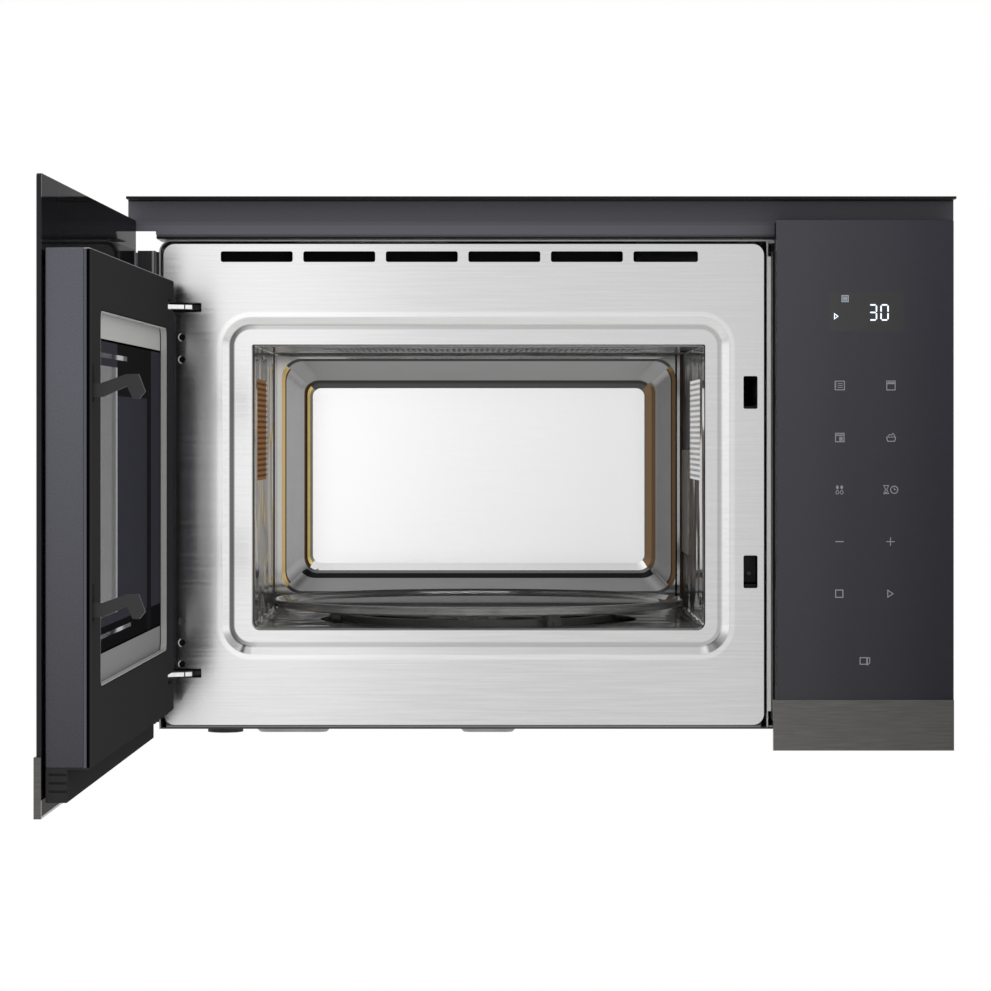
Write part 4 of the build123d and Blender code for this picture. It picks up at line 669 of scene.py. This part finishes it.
def paint_press_shade(made):
    """Painted shade along the outline, deepest at its left, and a faint painted highlight outside it."""
    g = Graph(made.node_tree)
    shader = g.nodes["Principled BSDF"]
    colour = shader.inputs["Base Color"].links[0].from_socket
    spots = g.places(g.add("ShaderNodeTexCoord").outputs["Object"])
    gap = pressed_gap(g, spots)
    # Painted shade along the outline and a painted highlight outside it
    dark = line_shade(g, gap, PAINTED_SHADE_LINE)
    bright = line_shade(g, gap, PAINTED_HIGHLIGHT_LINE)
    start, end = LEFT_END
    depth = g.remap(spots[0], (start * MM, end * MM), (SHADE_AT_LEFT, SHADE_ELSEWHERE))
    cut = g.math("SUBTRACT", 1.0, g.math("MULTIPLY", dark, depth))
    factor = g.math("ADD", cut, g.math("MULTIPLY", bright, HIGHLIGHT_LEVEL))
    g.feed(g.scaled(colour, factor), shader.inputs["Base Color"])


paint_press_shade(stainless)


# Fine bevels on folded edges, so that they catch the light

BEVEL_WIDTHS = {"door_cover": 0.5, "door_frame": 0.6, "top_trim": 0.4}
WELD_REACH = 0.01
SHARP_EDGE = 40

for name, width in BEVEL_WIDTHS.items():
    joined = nodes[name].modifiers.new("weld", "WELD")
    joined.merge_threshold = WELD_REACH * MM
    rounded = nodes[name].modifiers.new("bevel", "BEVEL")
    rounded.width = width * MM
    rounded.segments = 2
    rounded.limit_method = "ANGLE"
    rounded.angle_limit = math.radians(SHARP_EDGE)
    rounded.use_clamp_overlap = True


# Mesh helpers


def new_mesh(name, verts, faces, material):
    """Makes an object from points in millimetres."""
    mesh = bpy.data.meshes.new(name)
    mesh.from_pydata([tuple(c * MM for c in v) for v in verts], [], faces)
    mesh.update()
    mesh.materials.append(material)
    made = bpy.data.objects.new(name, mesh)
    scene.collection.objects.link(made)
    return made


def mesh_object(name, verts, faces, material, body):
    """Makes a piece and lets it ride on a body of the frame."""
    piece = new_mesh(name, verts, faces, material)
    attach(piece, body)
    return piece


def slab(name, x_range, y_range, z_range, material):
    verts = [(x, y, z) for x in x_range for y in y_range for z in z_range]
    faces = [(0, 1, 3, 2), (4, 6, 7, 5), (0, 4, 5, 1), (2, 3, 7, 6), (0, 2, 6, 4), (1, 5, 7, 3)]
    return mesh_object(name, verts, faces, material, "chassis")


def round_point(x, z, radius, degrees):
    """Point at an angle on the circle round x and z."""
    angle = math.radians(degrees)
    return x + radius * math.cos(angle), z + radius * math.sin(angle)


class Marks:
    """Thin printed marks on a face that looks to the front, gathered in one mesh."""

    LAYER = 0.002
    SHARPEST_MITRE = 0.35

    def __init__(self, face_y, height=0.05):
        self.back = face_y
        self.front = face_y - height
        self.verts = []
        self.faces = []

    def prism(self, outline):
        """Closed outline in X and Z, raised from the face."""
        count = len(outline)
        start = len(self.verts)
        area = sum(a[0] * b[1] - b[0] * a[1] for a, b in zip(outline, outline[1:] + outline[:1]))
        if area < 0:
            outline = outline[::-1]
        self.verts += [(x, self.front, z) for x, z in outline]
        self.verts += [(x, self.back, z) for x, z in outline]
        self.faces.append([start + i for i in range(count)])
        self.faces.append([start + count + i for i in reversed(range(count))])
        for i in range(count):
            j = (i + 1) % count
            self.faces.append([start + j, start + i, start + count + i, start + count + j])

    def path(self, points, width, closed=False):
        """Line of one width with mitred corners, each path a hair higher than the last."""
        self.front -= self.LAYER
        spots = [Vector(p) for p in points]
        count = len(spots)
        rims = []
        for i, spot in enumerate(spots):
            first = i == 0 and not closed
            last = i == count - 1 and not closed
            runs = []
            if not first:
                runs.append((spot - spots[i - 1]).normalized())
            if not last:
                runs.append((spots[(i + 1) % count] - spot).normalized())
            sides = [Vector((-run.y, run.x)) for run in runs]
            side = sum(sides, Vector((0, 0))).normalized()
            reach = width / 2 / max(self.SHARPEST_MITRE, side.dot(sides[0]))
            end = Vector((0, 0))
            if first:
                end = -runs[0] * width / 2
            if last:
                end = runs[0] * width / 2
            rims.append((spot + side * reach + end, spot - side * reach + end))
        start = len(self.verts)
        for y in (self.front, self.back):
            for left, right in rims:
                self.verts += [(left.x, y, left.y), (right.x, y, right.y)]
        layer = 2 * count
        for i in range(count if closed else count - 1):
            a, b = start + 2 * i, start + 2 * ((i + 1) % count)
            self.faces += [[a, a + 1, b + 1, b], [a + layer, b + layer, b + 1 + layer, a + 1 + layer],
                           [a, b, b + layer, a + layer], [a + 1, a + 1 + layer, b + 1 + layer, b + 1]]
        if not closed:
            for a in (start, start + layer - 2):
                self.faces.append([a, a + layer, a + 1 + layer, a + 1])

    def ring(self, x, z, radius, width, sides, start=0.0, turn=360.0):
        closed = turn == 360.0
        corners = range(sides if closed else sides + 1)
        self.path([round_point(x, z, radius, start + turn * i / sides) for i in corners], width, closed)

    def box(self, x, z, half_width, half_height, width):
        self.path([(x - half_width, z - half_height), (x + half_width, z - half_height),
                   (x + half_width, z + half_height), (x - half_width, z + half_height)], width, closed=True)

    def waves(self, x0, x1, z, width, teeth=4, rise=0.45):
        """Zigzag from x0 to x1 with so many teeth."""
        step = (x1 - x0) / (2 * teeth)
        points = [(x0 + step * i, z + (rise if i % 2 else -rise)) for i in range(2 * teeth + 1)]
        self.path(points, width)

    def drop(self, x, z, height, width=0.0):
        """Drop with its tip up, filled unless a line's width is given."""
        radius = height * 0.36
        belly = z - height * 0.14
        points = [(x, z + height * 0.5)] + [round_point(x, belly, radius, 30 * (1 - i)) for i in range(9)]
        if width:
            self.path(points, width, closed=True)
        else:
            self.prism(points)

    def build(self, name, material):
        return mesh_object(name, self.verts, self.faces, material, "chassis")


# Signs on the control glass, drawn in millimetres round their middles

GLASS_FRONT = -17.0
LEFT_COLUMN = 214.2
RIGHT_COLUMN = 250.9
DOOR_COLUMN = 232.05
ROW_TOP = 253.7
ROW_STEP = 37.35
DOOR_ROW_OFFSET = 10.9

LINE = 0.62
BOLD = 0.7
MIDDLE = 0.55
FINE = 0.5
HAIR = 0.45


def list_sign(marks, x, z):
    marks.box(x, z, 3.3, 3.1, LINE)
    for level in (z + 1.4, z, z - 1.4):
        marks.path([(x - 1.3, level), (x + 1.9, level)], HAIR)
        marks.path([(x - 3.6, level + 0.5), (x - 2.6, level + 0.5)], HAIR)


def grill_sign(marks, x, z):
    marks.box(x, z, 3.0, 3.2, LINE)
    marks.waves(x - 2.3, x + 2.3, z + 1.7, BOLD)


def oven_sign(marks, x, z):
    marks.box(x, z, 3.05, 3.05, LINE)
    marks.waves(x - 2.4, x + 2.4, z + 1.7, FINE)
    for level in (z - 0.2, z - 1.7):
        marks.waves(x - 0.4, x + 2.0, level, HAIR, teeth=3, rise=0.5)


def bowl_sign(marks, x, z):
    marks.path([(x - 3.1, z - 0.1), (x - 2.3, z - 2.7), (x + 2.6, z - 2.7), (x + 3.3, z - 0.1)], LINE)
    marks.path([(x - 2.9, z + 0.4), (x + 0.2, z + 0.2), (x + 3.2, z + 0.4)], FINE)
    marks.path([(x - 2.1, z + 1.0), (x - 0.9, z + 2.2), (x + 0.4, z + 1.6), (x + 1.4, z + 3.0),
                (x + 2.5, z + 1.6), (x + 2.6, z + 1.0)], FINE)


def drops_sign(marks, x, z):
    for middle in (x - 1.55, x + 1.55):
        marks.drop(middle, z + 1.9, 2.9)
        marks.drop(middle, z - 1.7, 3.0, HAIR)


def time_sign(marks, x, z):
    """An hourglass beside a clock."""
    glass = x - 3.45
    for level in (z - 2.9, z + 2.9):
        marks.path([(glass - 1.85, level), (glass + 1.85, level)], FINE)
    for side in (-1, 1):
        outline = ((1.45, 2.5), (1.05, 1.1), (0.25, 0.0), (1.05, -1.1), (1.45, -2.5))
        marks.path([(glass + side * across, z + up) for across, up in outline], HAIR)
    marks.prism([(glass - 0.75, z - 2.5), (glass + 0.75, z - 2.5), (glass, z - 1.2)])
    clock = x + 2.35
    marks.ring(clock, z - 0.1, 2.6, LINE, 24)
    marks.path([(clock, z + 1.4), (clock, z - 0.1), (x + 3.6, z - 0.1)], FINE)


def minus_sign(marks, x, z):
    marks.path([(x - 2.6, z), (x + 2.6, z)], BOLD)


def plus_sign(marks, x, z):
    marks.path([(x - 2.75, z), (x + 2.75, z)], MIDDLE)
    marks.path([(x, z - 2.75), (x, z + 2.75)], MIDDLE)


def stop_sign(marks, x, z):
    marks.box(x, z, 2.6, 2.6, BOLD)


def start_sign(marks, x, z):
    marks.path([(x - 2.3, z - 2.5), (x - 2.3, z + 2.5), (x + 1.5, z)], 0.6, closed=True)


def door_sign(marks, x, z):
    marks.box(x - 0.9, z, 2.4, 2.35, LINE)
    panel = [(x + 1.9, z + 2.4), (x + 3.6, z + 2.2), (x + 3.6, z - 1.4), (x + 1.9, z - 2.9)]
    marks.path(panel, MIDDLE, closed=True)


SIGN_ROWS = (
    ((list_sign, LEFT_COLUMN), (grill_sign, RIGHT_COLUMN)),
    ((oven_sign, LEFT_COLUMN), (bowl_sign, RIGHT_COLUMN)),
    ((drops_sign, LEFT_COLUMN - 0.2), (time_sign, RIGHT_COLUMN)),
    ((minus_sign, LEFT_COLUMN - 0.2), (plus_sign, RIGHT_COLUMN - 0.3)),
    ((stop_sign, LEFT_COLUMN - 0.4), (start_sign, RIGHT_COLUMN)),
)
ink = surface("symbol_ink", (0.26, 0.26, 0.275), 0.6, 0.0, vary=0.03, bump=0.02)
symbols = Marks(GLASS_FRONT)
for index, row in enumerate(SIGN_ROWS):
    for draw, column in row:
        draw(symbols, column, ROW_TOP - index * ROW_STEP)
door_sign(symbols, DOOR_COLUMN, ROW_TOP - len(SIGN_ROWS) * ROW_STEP - DOOR_ROW_OFFSET)
symbols.build("panel_symbols", ink)


# Display: a slightly lighter window, lit digits and two small signs

DISPLAY_X = (206.5, 260.6)
DISPLAY_Z = (292.5, 320.5)
DISPLAY_HEIGHT = 0.02
DISPLAY_FRONT = GLASS_FRONT - DISPLAY_HEIGHT

display_tint = surface("display_tint", (0.036, 0.036, 0.038), 0.05, 0.0, vary=0.03, bump=0.004)
display = Marks(GLASS_FRONT, DISPLAY_HEIGHT)
display.prism([(DISPLAY_X[0], DISPLAY_Z[1]), (DISPLAY_X[1], DISPLAY_Z[1]),
               (DISPLAY_X[1], DISPLAY_Z[0]), (DISPLAY_X[0], DISPLAY_Z[0])])
display.build("display_window", display_tint)

lit = surface("lit_digits", (0.7, 0.78, 0.9), 0.5, 0.0, vary=0.02, Emission_Color=(0.80, 0.87, 1.0, 1),
              Emission_Strength=0.75)
lit_soft = surface("lit_sign", (0.26, 0.29, 0.34), 0.5, 0.0, vary=0.02, Emission_Color=(0.42, 0.46, 0.55, 1),
                   Emission_Strength=0.2)

SEGMENTS = {"3": "abgcd", "0": "abcdef"}
FIGURES = (("3", 238.0), ("0", 246.3))
FIGURE_Z = 306.1
FIGURE_WIDTH = 5.0
FIGURE_HEIGHT = 10.8
SEGMENT_WIDTH = 1.05
SEGMENT_GAP = 0.3


def digit(marks, figure, x, z):
    """Seven-segment figure with pointed segments, centred on x and z."""
    w, h, t = FIGURE_WIDTH / 2, FIGURE_HEIGHT / 2, SEGMENT_WIDTH / 2
    ends = {
        "a": ((-w, h), (w, h)), "b": ((w, h), (w, 0)), "c": ((w, 0), (w, -h)), "d": ((-w, -h), (w, -h)),
        "e": ((-w, 0), (-w, -h)), "f": ((-w, h), (-w, 0)), "g": ((-w, 0), (w, 0)),
    }
    middle = Vector((x, z))
    for key in SEGMENTS[figure]:
        start, end = (Vector(point) for point in ends[key])
        run = (end - start).normalized()
        side = Vector((-run.y, run.x)) * t
        a = middle + start + run * SEGMENT_GAP
        b = middle + end - run * SEGMENT_GAP
        outline = [a, a + run * t - side, b - run * t - side, b, b - run * t + side, a + run * t + side]
        marks.prism([tuple(p) for p in outline])


digits = Marks(DISPLAY_FRONT)
for figure, x in FIGURES:
    digit(digits, figure, x, FIGURE_Z)
digits.build("display_digits", lit)

start_mark = Marks(DISPLAY_FRONT)
start_mark.path([(210.4, 301.5), (210.4, 305.2), (212.8, 303.35)], LINE, closed=True)
start_mark.build("display_start_sign", lit)

MODE_X = 218.0
MODE_Z = 316.0
mode_mark = Marks(DISPLAY_FRONT)
mode_mark.box(MODE_X, MODE_Z, 2.25, 2.15, BOLD)
for level in (MODE_Z - 1.0, MODE_Z, MODE_Z + 1.0):
    mode_mark.path([(MODE_X - 1.2, level), (MODE_X + 1.2, level)], 0.75)
mode_mark.build("display_mode_sign", lit_soft)


# Dark sockets of the hinge screws, and painted highlights on their rims

PLATE_FRONT = 16.4
SCREW_X = -260.5
SCREW_HEIGHTS = (289.2, 273.0, 67.1, 51.5)
SOCKET_RADIUS = 2.55
HIGHLIGHT_RADIUS = 2.75
HIGHLIGHT_WIDTH = 0.65

sockets = Marks(PLATE_FRONT - 0.03, 0.04)
rim_highlights = Marks(PLATE_FRONT - 0.03, 0.05)
for screw_z in SCREW_HEIGHTS:
    sockets.prism([round_point(SCREW_X, screw_z, SOCKET_RADIUS, 60 * i) for i in range(6)])
    # Painted highlight on the left of each rim
    rim_highlights.ring(SCREW_X + 0.1, screw_z, HIGHLIGHT_RADIUS, HIGHLIGHT_WIDTH, 10, start=120, turn=130)
sockets.build("hinge_screw_sockets", shade_black)
rim_highlights.build("hinge_screw_rim_highlights", pale)


# Shades in the hinge slots above and below the arms, and behind the openings of the front

SLOT_X = (-269.8, -246.6)
SLOT_SHADE_Y = (16.8, 17.0)
SLOT_HEIGHTS = (("upper", 310.8), ("lower", 45.0))
SHADE_NEAR = 1.6
SHADE_FAR = 3.25

for label, slot_z in SLOT_HEIGHTS:
    above = (slot_z + SHADE_NEAR, slot_z + SHADE_FAR)
    below = (slot_z - SHADE_FAR, slot_z - SHADE_NEAR)
    slab("hinge_slot_shade_top_" + label, SLOT_X, SLOT_SHADE_Y, above, shade_black)
    slab("hinge_slot_shade_low_" + label, SLOT_X, SLOT_SHADE_Y, below, shade_black)
slab("glass_edge_shade", (-296.4, -291.2), (19.5, 20.0), (338, 351), charcoal)
slab("panel_gap_shade", (162.7, 165.0), (26, 27), (8, 358), shade_black)
slab("vent_shade", (-240, 70), (24, 25), (330, 358), shade_black)
slab("latch_hole_shade", (140, 172), (95, 96), (95, 290), shade_black)


# Bright lip round the door's window, which also stands in for light on its recess wall, drawn on the closed
# door

HINGE_X = -288.1
HINGE_Y = -9.6
REST_ANGLE = math.radians(-91.3)
WINDOW_X = (-233.6, 118.0)
WINDOW_Z = (66.8, 293.2)
LIP_CORNER = 7.0
LIP_GAP = 0.05
LIP_THICK = 0.35
LIP_Y = (11.2, 15.2)
QUARTER_STEPS = 6


def on_open_door(x, y, z):
    """A point drawn on the closed door, at the door's rest place."""
    dx, dy = x - HINGE_X, y - HINGE_Y
    return (HINGE_X + dx * math.cos(REST_ANGLE) - dy * math.sin(REST_ANGLE),
            HINGE_Y + dx * math.sin(REST_ANGLE) + dy * math.cos(REST_ANGLE), z)


def lip_loop(inset):
    """The window's outline with rounded corners, so far inside its edge."""
    r = LIP_CORNER - inset
    left, right = WINDOW_X[0] + LIP_CORNER, WINDOW_X[1] - LIP_CORNER
    low, high = WINDOW_Z[0] + LIP_CORNER, WINDOW_Z[1] - LIP_CORNER
    corners = [(right, high, 0), (left, high, 90), (left, low, 180), (right, low, 270)]
    return [round_point(x, z, r, start + 90 * i / QUARTER_STEPS)
            for x, z, start in corners for i in range(QUARTER_STEPS + 1)]


loops = [lip_loop(LIP_GAP), lip_loop(LIP_GAP + LIP_THICK)]
verts = [on_open_door(x, y, z) for loop in loops for y in LIP_Y for x, z in loop]
count = len(loops[0])
faces = []
for i in range(count):
    j = (i + 1) % count
    for first, second in ((0, 1), (3, 2), (1, 3), (2, 0)):
        faces.append((first * count + i, first * count + j, second * count + j, second * count + i))
mesh_object("window_lip", verts, faces, lip_steel, "door")


# Perforated sheets with fine round holes

SHEET_EDGE = 9.0
SIDE_PITCH = 4.0
SIDE_RADIUS = 1.3
GUARD_PITCH = 4.4
GUARD_RADIUS = 1.5
HOLE_SIDES = 8


class Sheet:
    """Mesh whose points are (u, v) in the sheet and w through it. axis is the thin direction."""

    def __init__(self, axis):
        self.axis = axis
        self.flat = [i for i in range(3) if i != axis]
        self.points = {}
        self.verts = []
        self.faces = []

    def vertex(self, u, v, w):
        """Index of the point, which is shared where it exists."""
        key = (round(u, 3), round(v, 3), round(w, 3))
        if key not in self.points:
            spot = [0.0, 0.0, 0.0]
            spot[self.flat[0]], spot[self.flat[1]], spot[self.axis] = u, v, w
            self.points[key] = len(self.verts)
            self.verts.append(tuple(spot))
        return self.points[key]

    def level(self, corners, w):
        self.faces.append([self.vertex(u, v, w) for u, v in corners])

    def wall(self, a, b, w0, w1):
        self.faces.append([self.vertex(*point, w) for point, w in ((a, w0), (b, w0), (b, w1), (a, w1))])

    def rectangle(self, u0, v0, u1, v1, w):
        self.level([(u0, v0), (u1, v0), (u1, v1), (u0, v1)], w)


def cell_outlines(u, v, du, dv, radius):
    """Matching points on a cell's border and on the round hole in its middle."""
    cu, cv = u + du / 2, v + dv / 2
    border = [(u + du, cv), (u + du, v + dv), (cu, v + dv), (u, v + dv),
              (u, cv), (u, v), (cu, v), (u + du, v)]
    hole = [round_point(cu, cv, radius, 360 * k / HOLE_SIDES) for k in range(HOLE_SIDES)]
    return border, hole


def perforated(name, node, axis, pitch, radius):
    """Sheet with rows of round holes, in the place of a node."""
    sheet = Sheet(axis)
    low, high = (Vector(p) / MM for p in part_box(node))
    (u0, v0), (u1, v1) = ([corner[i] for i in sheet.flat] for corner in (low, high))
    hu0, hv0, hu1, hv1 = u0 + SHEET_EDGE, v0 + SHEET_EDGE, u1 - SHEET_EDGE, v1 - SHEET_EDGE
    columns = int((hu1 - hu0) / pitch)
    rows = int((hv1 - hv0) / pitch)
    du, dv = (hu1 - hu0) / columns, (hv1 - hv0) / rows
    w0, w1 = low[axis], high[axis]
    for w in (w0, w1):
        for i in range(columns):
            for j in range(rows):
                border, hole = cell_outlines(hu0 + i * du, hv0 + j * dv, du, dv, radius)
                for k in range(HOLE_SIDES):
                    n = (k + 1) % HOLE_SIDES
                    sheet.level([border[k], border[n], hole[n], hole[k]], w)
                    if w == w0:
                        sheet.wall(hole[k], hole[n], w0, w1)
        for edges in ((u0, v0, u1, hv0), (u0, hv1, u1, v1), (u0, hv0, hu0, hv1), (hu1, hv0, u1, hv1)):
            sheet.rectangle(*edges, w)
    corners = [(u0, v0), (u1, v0), (u1, v1), (u0, v1)]
    for a, b in zip(corners, corners[1:] + corners[:1]):
        sheet.wall(a, b, w0, w1)
    piece = mesh_object(name, sheet.verts, sheet.faces, finish_of[node], "chassis")
    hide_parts(node)


perforated("lamp_screen_fine", "lamp_screen", 0, SIDE_PITCH, SIDE_RADIUS)
perforated("outlet_screen_fine", "outlet_screen", 0, SIDE_PITCH, SIDE_RADIUS)
perforated("grill_guard_fine", "grill_guard", 2, GUARD_PITCH, GUARD_RADIUS)


# Floor, below the picture and out of the photograph's frame

FLOOR_Z = -600
FLOOR_HALF_WIDTH = 3500
FLOOR_FRONT = -5000
FLOOR_REAR = 2200

floor_corners = [(-FLOOR_HALF_WIDTH, FLOOR_FRONT, FLOOR_Z), (FLOOR_HALF_WIDTH, FLOOR_FRONT, FLOOR_Z),
                 (FLOOR_HALF_WIDTH, FLOOR_REAR, FLOOR_Z), (-FLOOR_HALF_WIDTH, FLOOR_REAR, FLOOR_Z)]
pale_floor = surface("pale_floor", (0.86, 0.86, 0.85), 0.8, 0.0, vary=0.015, grain=3, bump=0.0)
floor = new_mesh("floor", floor_corners, [(0, 1, 2, 3)], pale_floor)
